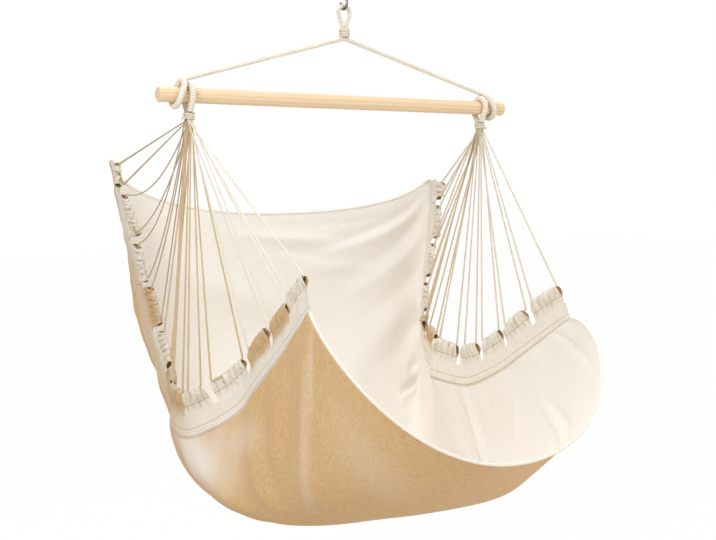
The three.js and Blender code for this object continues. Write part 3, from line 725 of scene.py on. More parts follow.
@dataclass
class SeatShape:
    """The surface on which the empty seat hangs, from measured stations on its edges and middle."""

    rigging: Rigging
    half_width: float = 490.0
    depth: float = 1000.0
    drop: float = 952.0
    tabs: int = 12
    last_tab_share: float = 0.6
    # Front edge to back edge: half width, depth, left drop, right drop
    side_shares: tuple = (
        (0.735, -0.418, 0.494, 0.54), (0.684, -0.156, 0.71, 0.714), (0.773, 0.129, 0.836, 0.789),
        (0.835, 0.293, 0.631, 0.646), (1.0, 0.311, 0.164, 0.215),
    )
    # How far each hem strays from that curve, front to back: outwards, backwards and upwards
    left_stray: tuple = (
        (0.0, 0.0, 0.0), (0.0, 0.0, 0.019), (0.0, 0.0, 0.036), (0.0, 0.0, 0.04), (0.0, 0.0, 0.013),
        (0.14, -0.045, 0.008), (0.125, -0.032, 0.028), (0.035, -0.022, 0.016), (0.0, -0.01, 0.0),
        (0.0, 0.0, 0.0), (0.0, 0.0, 0.0), (0.0, 0.0, 0.0), (0.0, 0.0, 0.02),
    )
    right_stray: tuple = (
        (-0.015, 0.0, -0.014), (0.0, 0.0, -0.004), (0.0, 0.0, 0.0), (0.0, 0.0, 0.0),
        (-0.03, 0.01, 0.0), (-0.12, 0.025, 0.042), (-0.03, 0.0, 0.036), (0.012, 0.0, 0.04),
        (0.042, 0.0, 0.03), (0.06, 0.0, 0.01), (0.05, 0.0, 0.0), (0.034, 0.0, 0.008),
        (0.0, 0.0, 0.022),
    )
    # Depth and drop of the middle line
    middle_shares: tuple = (
        (-0.653, 0.831), (-0.362, 0.998), (0.003, 1.004), (0.289, 0.717), (0.367, 0.29),
    )
    # Side handle, floor handle and outward lean of each cross-section
    fullness_shares: tuple = (
        (0.11, 0.82, 0.13), (1.15, 0.85, 0.14), (1.52, 0.5, 0.05), (1.28, 0.51, 0.01),
        (1.02, 0.92, 0.0),
    )
    side_handle_depth_share: float = 0.35
    band_follow: tuple[float, float] = (0.4, 0.62)
    # How far the tabs tip outwards, front to back, in degrees
    left_lean: tuple = ((-20.0,), (-20.0,), (-18.0,), (-9.0,), (0.0,), (2.0,), (2.0,), (16.0,), (28.0,))
    right_lean: tuple = ((0.0,), (0.0,), (0.0,), (-12.0,), (-2.0,))
    slope_step: float = 0.004
    # Main folds: across and along at both ends, width, height
    folds: tuple = (
        (0.86, 0.42, 0.3, 0.12, 42.0, -12.0), (-0.78, 0.34, -0.5, 0.06, 60.0, 10.0),
        (-0.62, 0.3, -0.2, 0.2, 70.0, -9.0), (-0.7, 0.96, 0.1, 0.84, 55.0, -8.0),
        (-0.1, 0.82, 0.75, 0.95, 55.0, 9.0), (0.1, 0.7, 0.85, 0.8, 60.0, -8.0),
        (0.9, 0.66, 0.55, 0.5, 45.0, 12.0),
    )
    # Smaller folds that only the dressed part shows
    fine_folds: tuple = (
        (0.985, 0.345, 0.7, 0.325, 7.0, -15.0), (0.96, 0.367, 0.68, 0.345, 8.0, 15.0),
        (1.0, 0.632, 0.64, 0.642, 9.0, 24.0), (1.0, 0.665, 0.75, 0.68, 15.0, 15.0),
        (0.99, 0.607, 0.62, 0.628, 9.0, -13.0), (0.99, 0.72, 0.7, 0.74, 24.0, -12.0),
        (0.95, 0.76, 0.45, 0.72, 34.0, 12.0), (-0.13, 0.985, 0.42, 0.975, 7.0, 6.0),
        (-0.13, 0.968, 0.19, 0.95, 8.0, -6.0), (0.17, 0.95, 0.8, 0.99, 9.0, 7.0),
        (-0.02, 0.948, 0.16, 0.928, 9.0, 6.0), (0.14, 0.93, 0.72, 0.965, 9.0, -7.0),
        (0.1, 0.912, 0.38, 0.895, 12.0, -6.0), (0.25, 0.895, 0.85, 0.96, 14.0, 8.0),
        (0.3, 0.86, 0.88, 0.93, 16.0, -8.0), (0.4, 0.82, 0.93, 0.88, 20.0, 8.0),
        (-0.4, 0.9, 0.05, 0.84, 26.0, -7.0), (0.78, 0.15, 0.4, 0.1, 7.0, -6.0),
        (0.72, 0.13, 0.4, 0.08, 9.0, 6.0), (0.97, 0.055, 0.64, 0.02, 7.0, 8.0),
        (0.88, 0.21, 0.72, 0.245, 7.0, -6.0), (-0.92, 0.0, -0.5, 0.235, 13.0, 11.0),
        (-0.95, 0.1, -0.68, 0.24, 24.0, -14.0), (-0.6, 0.04, -0.2, 0.26, 36.0, -8.0),
        (-0.97, 0.3, -0.6, 0.3, 18.0, 10.0), (-0.95, 0.25, -0.6, 0.27, 20.0, -9.0),
        (-0.97, 0.42, -0.7, 0.38, 22.0, 14.0), (-0.95, 0.5, -0.7, 0.46, 20.0, -8.0),
        (-0.9, 0.7, -0.6, 0.66, 24.0, -8.0), (-0.95, 0.8, -0.65, 0.85, 22.0, 9.0),
        (-0.98, 0.9, -0.6, 0.93, 16.0, -7.0),
    )
    # Painted highlights on lit crests of the outside: both ends, width, share
    painted_highlight_crests: tuple = (
        (-0.99, 0.46, -0.86, 0.38, 44.0, 1.1), (-0.95, 0.36, -0.88, 0.27, 20.0, 0.4),
        (-0.92, -0.02, -0.7, 0.09, 7.0, 0.26), (-0.8, 0.05, -0.5, 0.24, 12.0, 0.24),
        (-0.6, 0.05, -0.25, 0.13, 40.0, 0.22),
    )
    fold_fade: tuple[float, float] = (0.2, 0.17)
    fold_end_phase: float = 0.15
    gather_height: float = 2.6
    gather_reach: float = 26.0
    flat_half_width: float = 640.0
    flat_length: float = 1400.0
    wrinkle_seed: int = 7
    wrinkle_count: int = 30
    rows: Numbers = field(init=False)

    def __post_init__(self) -> None:
        """Finds the rows at which both edges have run equal lengths, twice as many as tabs."""
        samples = np.linspace(0, 1, 241)
        runs = [row_lengths(self.edge(np.full(241, s), samples)) for s in (-1, 1)]
        lengths = (runs[0] + runs[1]) / 2
        steps = np.arange(2 * self.tabs + 1)
        whole = 2 * (self.tabs - 1)
        tabs = np.minimum(steps, whole) + self.last_tab_share * np.maximum(steps - whole, 0)
        self.rows = np.interp(lengths[-1] * tabs / tabs[-1], lengths, samples)
        maker = np.random.default_rng(self.wrinkle_seed)
        self._wrinkles = self._random_wrinkles(maker)

    def curve(self, side: Numbers, along: Numbers) -> Numbers:
        """Gives points on the curve that the side edge follows.

        Args:
            side: -1 for the left edge and 1 for the right, one for each point.
            along: 0 at the front hem to 1 at the back hem.

        Returns:
            Points in millimetres.
        """
        width, depth, left, right = through(self.side_shares, along).T
        drop = np.where(side < 0, left, right) * self.drop
        return side_by_side(side * width * self.half_width, depth * self.depth, self.rigging.bar - drop)

    def edge(self, side: Numbers, along: Numbers) -> Numbers:
        """Gives points on the cloth's side edge.

        Args:
            side: -1 for the left edge and 1 for the right, one for each point.
            along: 0 at the front hem to 1 at the back hem.

        Returns:
            Points in millimetres.
        """
        left, right = through(self.left_stray, along), through(self.right_stray, along)
        stray = np.where((side < 0)[:, None], left, right)
        sizes = (np.full_like(side, size) for size in (self.depth, self.drop))
        scale = side_by_side(side * self.half_width, *sizes)
        return self.curve(side, along) + stray * scale

    def hem_frame(self, side: Numbers, along: Numbers) -> tuple[Numbers, Numbers, Numbers, Numbers]:
        """Gives the frame of the hem band.

        Args:
            side: -1 or 1 for each point.
            along: 0 at the front to 1 at the back.

        Returns:
            The edge's point, the way along it, the way up the band and the way out of its plane.
        """
        origin = self.edge(side, along)
        after = self.edge(side, np.minimum(along + self.slope_step, 1))
        before = self.edge(side, np.maximum(along - self.slope_step, 0))
        tangent = unit(after - before)
        level = np.full_like(along, self.rigging.neck_bottom)
        neck = side_by_side(side * self.rigging.clew_place, np.zeros_like(along), level)
        rise = neck - origin
        rise = unit(rise - tangent * np.sum(rise * tangent, axis=1)[:, None])
        left, right = through(self.left_lean, along), through(self.right_lean, along)
        lean = np.where(side < 0, left[:, 0], right[:, 0])
        angle = (np.radians(lean) * side)[:, None]
        rise = rise * np.cos(angle) + np.cross(tangent, rise) * np.sin(angle)
        outward = unit(np.cross(rise, tangent) * side[:, None])
        return origin, tangent, rise, outward

    def smooth(self, across: Numbers, along: Numbers) -> Numbers:
        """Gives points on the surface without its folds.

        Args:
            across: -1 at the left hem to 1 at the right hem.
            along: 0 at the front to 1 at the back.

        Returns:
            Points in millimetres.
        """
        side = np.where(across < 0, -1.0, 1.0)
        middle = through(self.middle_shares, along)
        side_handle, floor_handle, lean = through(self.fullness_shares, along).T
        start, _, rise, _ = self.hem_frame(side, along)
        height = self.rigging.bar - middle[:, 1] * self.drop
        end = side_by_side(np.zeros_like(along), middle[:, 0] * self.depth, height)
        curve = self.curve(side, along)
        reach = np.abs(curve[:, 0])
        inwards = self.side_handle_depth_share * (end[:, 1] - curve[:, 1])
        handle = side_by_side(side * lean * reach, inwards, side_handle * (end[:, 2] - curve[:, 2]))
        low, high = self.band_follow
        share = np.clip((along - low) / (high - low), 0, 1)
        share = (share * share * (3 - 2 * share))[:, None]
        in_band = -rise * np.linalg.norm(handle, axis=1)[:, None]
        handle = handle * (1 - share) + in_band * share
        first = curve * (1 - share) + start * share + handle
        second = side_by_side(side * floor_handle * reach, end[:, 1], end[:, 2])
        t = (1 - np.abs(across))[:, None]
        keep = 1 - t
        return keep**3 * start + 3 * keep**2 * t * first + 3 * keep * t**2 * second + t**3 * end

    def normal(self, across: Numbers, along: Numbers, surface: Callable) -> Numbers:
        """Gives unit normals that point away from the sitter.

        Args:
            across: -1 to 1 over the width.
            along: 0 to 1 over the length.
            surface: the method that gives points of the surface.

        Returns:
            One unit vector for each place.
        """
        step = self.slope_step
        left = surface(np.maximum(across - step, -1), along)
        right = surface(np.minimum(across + step, 1), along)
        front = surface(across, np.maximum(along - step, 0))
        back = surface(across, np.minimum(along + step, 1))
        return unit(np.cross(back - front, right - left))

    def _random_wrinkles(self, maker: np.random.Generator) -> list[tuple]:
        """Scatters small soft wrinkles over the cloth, more of them near the side hems."""
        wrinkles = []
        for _ in range(self.wrinkle_count):
            across = maker.uniform(0.35, 0.95) * maker.choice([-1, 1])
            along = maker.uniform(0.08, 0.92)
            turn = maker.normal(0.0, 0.5)
            reach = maker.uniform(0.08, 0.22)
            width = maker.uniform(14, 32)
            height = maker.uniform(1.2, 3.6) * maker.choice([-1, 1])
            run = (-np.sign(across) * reach * math.cos(turn), reach * 0.5 * math.sin(turn))
            wrinkles.append((across, along, across + run[0], along + run[1], width, height))
        return wrinkles

    def _ridges(self, across: Numbers, along: Numbers, ridges: Iterable[tuple]) -> Numbers:
        """Sums the heights of ridges given by their two ends, width and height.

        Args:
            across: -1 to 1 over the width.
            along: 0 to 1 over the length.
            ridges: the ridges.

        Returns:
            One height in millimetres for each place.
        """
        total = np.zeros_like(across)
        for x0, y0, x1, y1, width, height in ridges:
            run = np.array([(x1 - x0) * self.half_width, (y1 - y0) * self.depth])
            px = (across - x0) * self.half_width
            py = (along - y0) * self.depth
            share = np.clip((px * run[0] + py * run[1]) / float(run @ run), 0, 1)
            off = np.hypot(px - share * run[0], py - share * run[1]) / width
            phase = self.fold_end_phase + (1 - 2 * self.fold_end_phase) * share
            total += height * np.exp(-(off**2)) * np.sin(math.pi * phase)
        return total

    def whitened(self, across: Numbers, along: Numbers) -> Numbers:
        """Gives the share of painted highlight on the outside at each place, 0 to 1."""
        return np.clip(self._ridges(across, along, self.painted_highlight_crests), 0, 1)

    def folded(self, across: Numbers, along: Numbers) -> Numbers:
        """Gives points on the surface with its folds, wrinkles and the gathers at the tabs."""
        place = self.smooth(across, along)
        to_side = (1 - np.abs(across)) / self.fold_fade[0]
        to_end = np.minimum(along, 1 - along) / self.fold_fade[1]
        fade = np.clip(np.minimum(to_side, to_end), 0, 1)
        height = self._ridges(across, along, self.folds) * fade
        soft = np.clip(np.minimum(6 * to_side, 4 * to_end), 0, 1)
        height += self._ridges(across, along, tuple(self.fine_folds) + tuple(self._wrinkles)) * soft
        from_edge = (1 - np.abs(across)) * self.flat_half_width / self.gather_reach
        tab = np.interp(along, self.rows, np.arange(len(self.rows))) / 2
        gathers = np.cos(2 * math.pi * tab) + 0.4 * np.sin(4 * math.pi * tab + 2 * along)
        height += self.gather_height * gathers * from_edge * np.exp(1 - from_edge)
        return place + self.normal(across, along, self.smooth) * height[:, None]


@dataclass
class Canvas:
    """The seat's canvas: one sheet, tan outside and cream inside, with rolled hems front and back. The
    outside's tan is partly painted shade.
    """

    shape: SeatShape
    thickness: float = 1.8
    across_steps: int = 188
    edge_crowding: float = 1.15
    along_steps: int = 250
    roll_radius: float = 3.6
    roll_sides: int = 16
    roll_end_share: float = 0.97
    # The outside's tan, darker than the cream inside, is partly painted shade on the same cloth
    outer: PlainWovenCanvas = PlainWovenCanvas(
        name="outer canvas, tan melange",
        colour="e1be8e",
        shade="c3965f",
        slub=0.36,
        mottle=0.26,
        slub_length_mm=22.0,
        mottle_mm=7.0,
        whitened="efe6da",
    )
    inner: PlainWovenCanvas = PlainWovenCanvas(
        name="inner canvas, natural cream",
        colour="f7f3ed",
        shade="ebe3d7",
        slub=0.35,
        mottle=0.3,
        bump=0.2,
    )
    hem: PlainWovenCanvas = PlainWovenCanvas(
        name="rolled hem, bleached canvas",
        colour="f8f4ec",
        shade="e4d8c6",
        slub=0.3,
        mottle=0.3,
        stitch_rows_mm=(4.0,),
    )

    def build(self) -> Piece:
        """Builds the sheet and both rolled hems, and gives the sheet."""
        across = np.linspace(-1, 1, self.across_steps + 1)
        across = np.sign(across) * (1 - (1 - np.abs(across)) ** self.edge_crowding)
        along = np.linspace(0, 1, self.along_steps + 1)
        grid_along, grid_across = (g.ravel() for g in np.meshgrid(along, across, indexing="ij"))
        points = self.shape.folded(grid_across, grid_along)
        flat = side_by_side(grid_across * self.shape.flat_half_width, grid_along * self.shape.flat_length)
        faces = grid_faces(len(along), len(across))
        corners = faces.ravel()
        # The tint attribute holds the share of painted highlight on lit crests
        highlight_share = self.shape.whitened(grid_across, grid_along)[corners]
        tints = np.repeat(highlight_share[:, None], 3, axis=1)
        sheet = make_mesh("canvas_seat", points, faces, flat[corners], tints)
        for finish in (self.outer, self.inner):
            sheet.data.materials.append(finish.material())
        thicken(sheet, self.thickness)
        dress(sheet, sheet.data.materials[0], "seat", "seat_cloth")
        hem_material = self.hem.material()
        rolls = [
            self.roll("front_rolled_hem", 0.0, "front_hem", hem_material),
            self.roll("back_rolled_hem", 1.0, "back_hem", hem_material),
        ]
        self.pieces = [sheet, *rolls]
        return sheet

    def roll(self, name: str, along: float, node: str, material: Material) -> Piece:
        """Builds one rolled hem: the cloth's edge turned twice and stitched down.

        Args:
            name: the piece's name.
            along: 0 for the front edge and 1 for the back edge.
            node: the CAD node that it replaces.
            material: its finish.

        Returns:
            The hem.
        """
        count = 240
        step = 0.01
        across = np.linspace(-self.roll_end_share, self.roll_end_share, count)
        edge = self.shape.smooth(across, np.full(count, along))
        inner = self.shape.smooth(across, np.full(count, abs(along - step)))
        run = unit(
            self.shape.smooth(across + step, np.full(count, along))
            - self.shape.smooth(across - step, np.full(count, along))
        )
        away = edge - inner
        away = unit(away - run * np.sum(away * run, axis=1)[:, None])
        normal = np.cross(run, away)
        middle = edge + away * (self.roll_radius - self.thickness / 2)

        def section(lengths: Numbers, angles: Numbers) -> Numbers:
            """Gives the roll's radius, puckered by its stitches."""
            puckers = 0.03 * np.sin(2 * math.pi * lengths / 21) + 0.02 * np.sin(lengths / 3.1)
            return self.roll_radius * (1 + puckers) * (1 + 0.04 * np.cos(3 * angles))

        hem = sweep(name, middle, section, self.roll_sides, squash=(1.0, 0.86), frames=(away, normal))
        return dress(hem, material, "seat", node)


@dataclass
class HemCasing:
    """The doubled band along one side: a tunnel for the cords, cut by U-shaped notches into tabs."""

    shape: SeatShape
    side: Side
    node: str
    # Pale tabs and lengths of band, and brown ones of painted shade, front first, as the photograph shows
    # them
    tab_tints: tuple
    band_tints: tuple
    seed: int
    band: float = 38.0
    notch_half: float = 8.0
    shoulder: float = 10.0
    shoulder_share: float = 0.5
    top: float = 94.0
    tunnel_middle: float = 79.0
    tunnel_half_height: float = 15.0
    tunnel_half_thickness: float = 6.6
    flat_half_thickness: float = 0.8
    layer: float = 1.0
    lip: float = 9.0
    # How far the middle of a tab's top stands above its ends, and its pleats' and puffs' sizes
    hump: float = 5.0
    pleat_depth: float = 3.0
    puff_depth: float = 4.2
    puff_width: float = 18.0
    pleat_widths: tuple[float, float] = (11.0, 19.0)
    band_ruffle: float = 2.0
    # Spread of what differs from tab to tab
    curl: float = 4.0
    twist: float = 5.0
    crease_lean: float = 0.12
    slide: float = 2.5
    # How much of red, green and blue the painted crease shade and the blotches take
    shade_and_blotch_absorbs: tuple[float, float, float] = (0.8, 1.0, 1.3)
    columns: int = 36
    band_rows: int = 14
    tab_rows: int = 26
    pale: PlainWovenCanvas = PlainWovenCanvas(
        name="hem casing, doubled canvas",
        colour="f2ece2",
        shade="dfd4c3",
        slub=0.4,
        mottle=0.4,
        stitch_rows_mm=(-5.5, 9.0, 61.0),
        stitch_width_mm=1.4,
        stitch_colour="b59a74",
        tinted=True,
    )
    # The tunnel's inside: the tan of the canvas's outer face, painted darker as shade in the tunnel
    # mouths
    inside: PlainWovenCanvas = PlainWovenCanvas(
        name="inside of the casing, tan canvas", colour="cfa873", shade="a98250", slub=0.4, mottle=0.4
    )

    def half_notch(self, height: Numbers) -> Numbers:
        """Gives half the width of a notch at heights above the cloth's edge."""
        floor = self.band + self.notch_half
        start = self.top - self.shoulder_share * (self.top - floor)
        dip = np.clip(floor - height, 0, self.notch_half)
        half = np.sqrt(np.maximum(self.notch_half**2 - dip**2, 0))
        half = np.where(height <= self.band, 0.0, half)
        return half + self.shoulder * np.clip((height - start) / (self.top - start), 0, 1) ** 1.4

    def half_thickness(self, height: Numbers) -> Numbers:
        """Gives the distance of a layer's middle from the band's plane."""
        share = (height - self.tunnel_middle) / self.tunnel_half_height
        closing = np.sqrt(np.clip(1 - np.clip(share, 0, 1) ** 2, 0, 1))
        opening = np.clip((share + 1.5) / 1.3, 0, 1)
        opening = opening * opening * (3 - 2 * opening)
        flat = self.flat_half_thickness
        return flat * closing + (self.tunnel_half_thickness - flat) * opening * closing

    def build(self, material: Material) -> Piece:
        """Builds the casing in a finish, as one folded strip, tab by tab."""
        maker = np.random.default_rng(self.seed)
        low = np.linspace(-self.lip, self.band, self.band_rows + 1)[:-1]
        high = self.band + (self.top - self.band) * np.linspace(0, 1, self.tab_rows + 1) ** 0.9
        heights = np.concatenate([low, high])
        folded = np.concatenate([heights, heights[::-1][1:]])
        one_side = np.ones(len(heights) - 1)
        layer_side = np.concatenate([-one_side, [0.0], one_side])
        even = np.linspace(0, 1, self.columns + 1)
        shares = 0.6 * (0.5 - 0.5 * np.cos(math.pi * even)) + 0.4 * even
        grid = np.meshgrid(folded, shares, indexing="ij")
        tab_faces = grid_faces(*grid[0].shape, flipped=self.side is Side.LEFT)
        side = np.full(len(self.shape.rows), self.side.value, float)
        steps = np.diff(row_lengths(self.shape.edge(side, self.shape.rows)))
        points, faces, uvs, tints = [], [], [], []
        run = 0.0
        for tab in range(self.shape.tabs):
            width = float(steps[2 * tab] + steps[2 * tab + 1])
            place, flat, colours = self._tab(tab, run, width, *grid, layer_side, maker)
            faces.append(tab_faces + tab * len(place))
            points.append(place)
            uvs.append(flat[tab_faces.ravel()])
            tints.append(colours[tab_faces.ravel()])
            run += width
        name = self.side.name.lower() + "_tab_casing"
        casing = make_mesh(name, *(np.concatenate(rows) for rows in (points, faces, uvs, tints)))
        select_only(casing)
        bpy.ops.object.mode_set(mode="EDIT")
        bpy.ops.mesh.select_all(action="SELECT")
        # The tabs merge where the band runs on
        bpy.ops.mesh.remove_doubles(threshold=0.05 * MM)
        bpy.ops.object.mode_set(mode="OBJECT")
        for finish in (self.inside.material(), material):
            casing.data.materials.append(finish)
        thicken(casing, self.layer)
        return dress(casing, material, "seat", self.node)

    def _tab(
        self,
        tab: int,
        run: float,
        width: float,
        height: Numbers,
        share: Numbers,
        layer_side: Numbers,
        maker: np.random.Generator,
    ) -> tuple[Numbers, Numbers, Numbers]:
        """Shapes and colours one tab and the band under it.

        Args:
            tab: number of the tab, from the front.
            run: length of the hem before it.
            width: its own length of the hem.
            height: heights above the cloth's edge, as a grid.
            share: places over the width, as a grid.
            layer_side: -1 on the sitter's layer and 1 on the outer layer, row by row.
            maker: the source of its random numbers.

        Returns:
            Its points, their U and V, and their tints, all row by row.
        """
        half = self.half_notch(height)
        x = half + (width - 2 * half) * share
        phases = maker.uniform(0, 2 * math.pi, 3)
        above = np.clip((height - self.band) / (self.top - self.band), 0, 1)
        middle_share = 1 - (2 * share - 1) ** 2
        curl = maker.normal(0, self.curl) * above**2
        twist = maker.normal(0, self.twist) * above**1.5 * (2 * share - 1)
        pleats = np.sin(2 * math.pi * x / self.pleat_widths[0] + phases[0] + 3 * above)
        pleats += 0.7 * np.sin(2 * math.pi * x / self.pleat_widths[1] + phases[1] - 2 * above)
        pleats *= self.pleat_depth * above**0.5 * middle_share**0.5
        ends = np.sin(math.pi * (run + x) / (2 * width)) + 0.6 * np.sin((run + x) / 9 + phases[2])
        ruffle = self.band_ruffle * ends * np.clip(height / self.band, 0, 1) * (1 - above)
        frill = np.sin(x / 2.1 + phases[1]) + 0.8 * np.sin(x / 3.4 + phases[2])
        hump = self.hump * (middle_share**0.6 - 0.85) * above**2 + 0.8 * frill * above**4
        crinkle = 0.6 * np.sin(x / 2.3 + phases[2]) * above
        shift = curl + twist + pleats + ruffle + crinkle
        leaning = math.pi * (x + maker.normal(0, self.crease_lean) * (height - self.top))
        creases = 2 * np.abs(np.sin(leaning / self.puff_width + phases[0])) ** 0.6 - 1.2
        puff = self.puff_depth * creases * (4 * above * (1 - above)) ** 0.5 * middle_share**0.4
        x = x + maker.normal(0, self.slide) * above
        place = self._place(tab, x / width, height + hump, shift, puff, layer_side)
        blotches = np.sin(x / 8 + phases[0]) * np.sin(height / 9 + phases[1])
        # Painted shade darkens the creases, and random blotches darken the tab from its foot up
        crease_shade_and_blotches = 0.34 * np.clip(-creases, 0, 1) * np.clip(above * 3, 0, 1)
        crease_shade_and_blotches = crease_shade_and_blotches + 0.07 * (1 + blotches) * np.clip(above * 2, 0, 1)
        # The painted shade thins towards cream at the tab's top rim and at its sides
        rim = np.clip((height - self.top + 9) / 8, 0, 1) * 0.55
        rim = np.maximum(rim, 0.5 * np.clip(1 - 12 * middle_share, 0, 1))
        tint = self.tab_tints[tab]
        tab_tint = tint + (CREAM - tint) * rim[..., None]
        tab_tint = tab_tint * (1 - crease_shade_and_blotches[..., None] * self.shade_and_blotch_absorbs)
        centres = np.arange(self.shape.tabs) + 0.5
        channels = np.array(self.band_tints).T
        band_tint = np.stack([np.interp(tab + x / width, centres, c) for c in channels], axis=-1)
        up_share = np.clip((height - self.band + 8) / 18, 0, 1)[..., None]
        colours = band_tint + (tab_tint - band_tint) * up_share
        below = 0.25 * np.clip(-height - 6.5, 0, 1)[..., None]
        colours = colours * (1 - below * (1 - BROWN))
        flat = np.stack([run + x, height], axis=-1)
        return place, flat.reshape(-1, 2), colours.reshape(-1, 3)

    def _place(
        self,
        tab: int,
        share: Numbers,
        height: Numbers,
        shift: Numbers,
        puff: Numbers,
        layer_side: Numbers,
    ) -> Numbers:
        """Puts the casing's grid on the hem.

        Args:
            tab: number of the tab, from the front.
            share: place over the tab's width.
            height: height above the cloth's edge.
            shift: offset out of the band's plane.
            puff: how far the layers stand further apart.
            layer_side: -1 on the sitter's layer and 1 on the outer layer, row by row.

        Returns:
            Points in millimetres, row by row.
        """
        steps = np.clip(2 * (tab + share), 0, 2 * self.shape.tabs).ravel()
        along = np.interp(steps, np.arange(len(self.shape.rows)), self.shape.rows)
        side = np.full(len(along), self.side.value, float)
        origin, _, rise, outward = self.shape.hem_frame(side, along)
        flat_height = height.ravel()
        fade = np.clip(flat_height / 12, 0, 1)
        layers = np.repeat(layer_side, share.shape[1])
        half = self.half_thickness(flat_height)
        half = half + puff.ravel() * np.clip((half - 1.2) / self.tunnel_half_thickness, 0, 1)
        out = layers * half + shift.ravel() * fade
        up_band = np.maximum(flat_height, 0)
        band = origin + rise * up_band[:, None] + outward * out[:, None]
        down = np.minimum(flat_height, 0) / self.shape.flat_half_width
        across = self.side.value * (1 + down)
        cloth = self.shape.folded(across, along)
        normal = self.shape.normal(across, along, self.shape.smooth)
        thinner = 1 - 0.4 * np.clip(-flat_height / self.lip, 0, 1)
        lip = cloth - normal * (layers * (self.layer + 0.6) * thinner)[:, None]
        share_band = np.clip((flat_height + 1) / 6, 0, 1)[:, None]
        return lip * (1 - share_band) + band * share_band


@dataclass
class CordFan:
    """Twelve bights of cord on one side, from the whipped neck through the tabs and back."""

    shape: SeatShape
    side: Side
    tunnel_height: float = 88.0
    bend_rise: float = 5.0
    notch_half: float = 13.0
    mouth_reach: float = 4.0
    # A cord is fuller where it hangs free than where the neck packs it
    swell: float = 0.85
    slack_swell: float = 0.1
    sides: int = 10
    # Slack legs by bight and leg: how far the curve's middle handle drops, in leg lengths
    slack: dict = field(default_factory=dict)
    # The finish of each bight that isn't dressed in the fan's own
    other_finishes: dict = field(default_factory=dict)

    def _hem_place(self, step: float, height: float) -> tuple[Numbers, Numbers]:
        """Gives a point at a step of the hem and a height above the cloth's edge, and the hem's way."""
        along = np.interp([step], np.arange(len(self.shape.rows)), self.shape.rows)
        origin, tangent, rise, _ = self.shape.hem_frame(np.array([float(self.side.value)]), along)
        return (origin + rise * height)[0], tangent[0]

    def path(self, bight: int, places: Numbers) -> Numbers:
        """Gives the line of one bight.

        Args:
            bight: number of the bight, from the front.
            places: the cords' places in the neck.

        Returns:
            The points of the line, neck to neck.
        """
        rigging = self.shape.rigging
        first, middle = 2 * bight, 2 * bight + 1
        centre, _ = self._hem_place(middle, self.tunnel_height)
        legs = []
        for leg in (0, 1):
            notch, tangent = self._hem_place(first + 2 * leg, self.tunnel_height)
            inwards = unit((centre - notch)[None, :])[0]
            edge = self.notch_half / abs(float(inwards @ tangent))
            mouth = notch + inwards * (edge + self.mouth_reach)
            bend = notch + inwards * edge
            start = places[2 * bight + leg]
            neck_exit = np.array([start[0], start[1], rigging.neck_bottom])
            to_hem = unit((bend - neck_exit)[None, :])[0]
            bend = bend - to_hem * self.bend_rise
            turn = neck_exit + (to_hem - np.array([0, 0, 1.0])) * rigging.cord_radius
            drop = self.slack.get((bight, leg), 0.0)
            stretch = [turn]
            if drop:
                handle = (turn + bend) / 2 - np.array([0, 0, drop * np.linalg.norm(bend - turn)])
                for share in np.linspace(0, 1, 17)[1:-1]:
                    keep = 1 - share
                    stretch.append(keep**2 * turn + 2 * keep * share * handle + share**2 * bend)
            legs.append([start, *stretch, bend, mouth])
        knots = legs[0] + [centre] + legs[1][::-1]
        return rounded(np.array(knots), 4.0, 4)

    def build(self, material: Material) -> None:
        """Builds the twelve cords, each in a finish unless it has another."""
        radius = self.shape.rigging.cord_radius
        places = self.shape.rigging.neck_places(self.side)
        for bight in range(self.shape.tabs):
            name = f"{self.side.name.lower()}_cord_{bight + 1:02d}"
            path = self.path(bight, places)
            total = row_lengths(path)[-1]
            is_slack = any(key[0] == bight for key in self.slack)
            swell = self.slack_swell if is_slack else self.swell

            def section(lengths: Numbers, angles: Numbers) -> Numbers:
                """Gives the cord's radius, which swells away from both of its ends."""
                from_end = np.minimum(lengths, total - lengths)
                return radius + swell * np.clip((from_end - 30) / 60, 0, 1)

            cord = sweep(name + "_twisted", path, section, self.sides)
            dress(cord, self.other_finishes.get(bight, material), "seat", name)


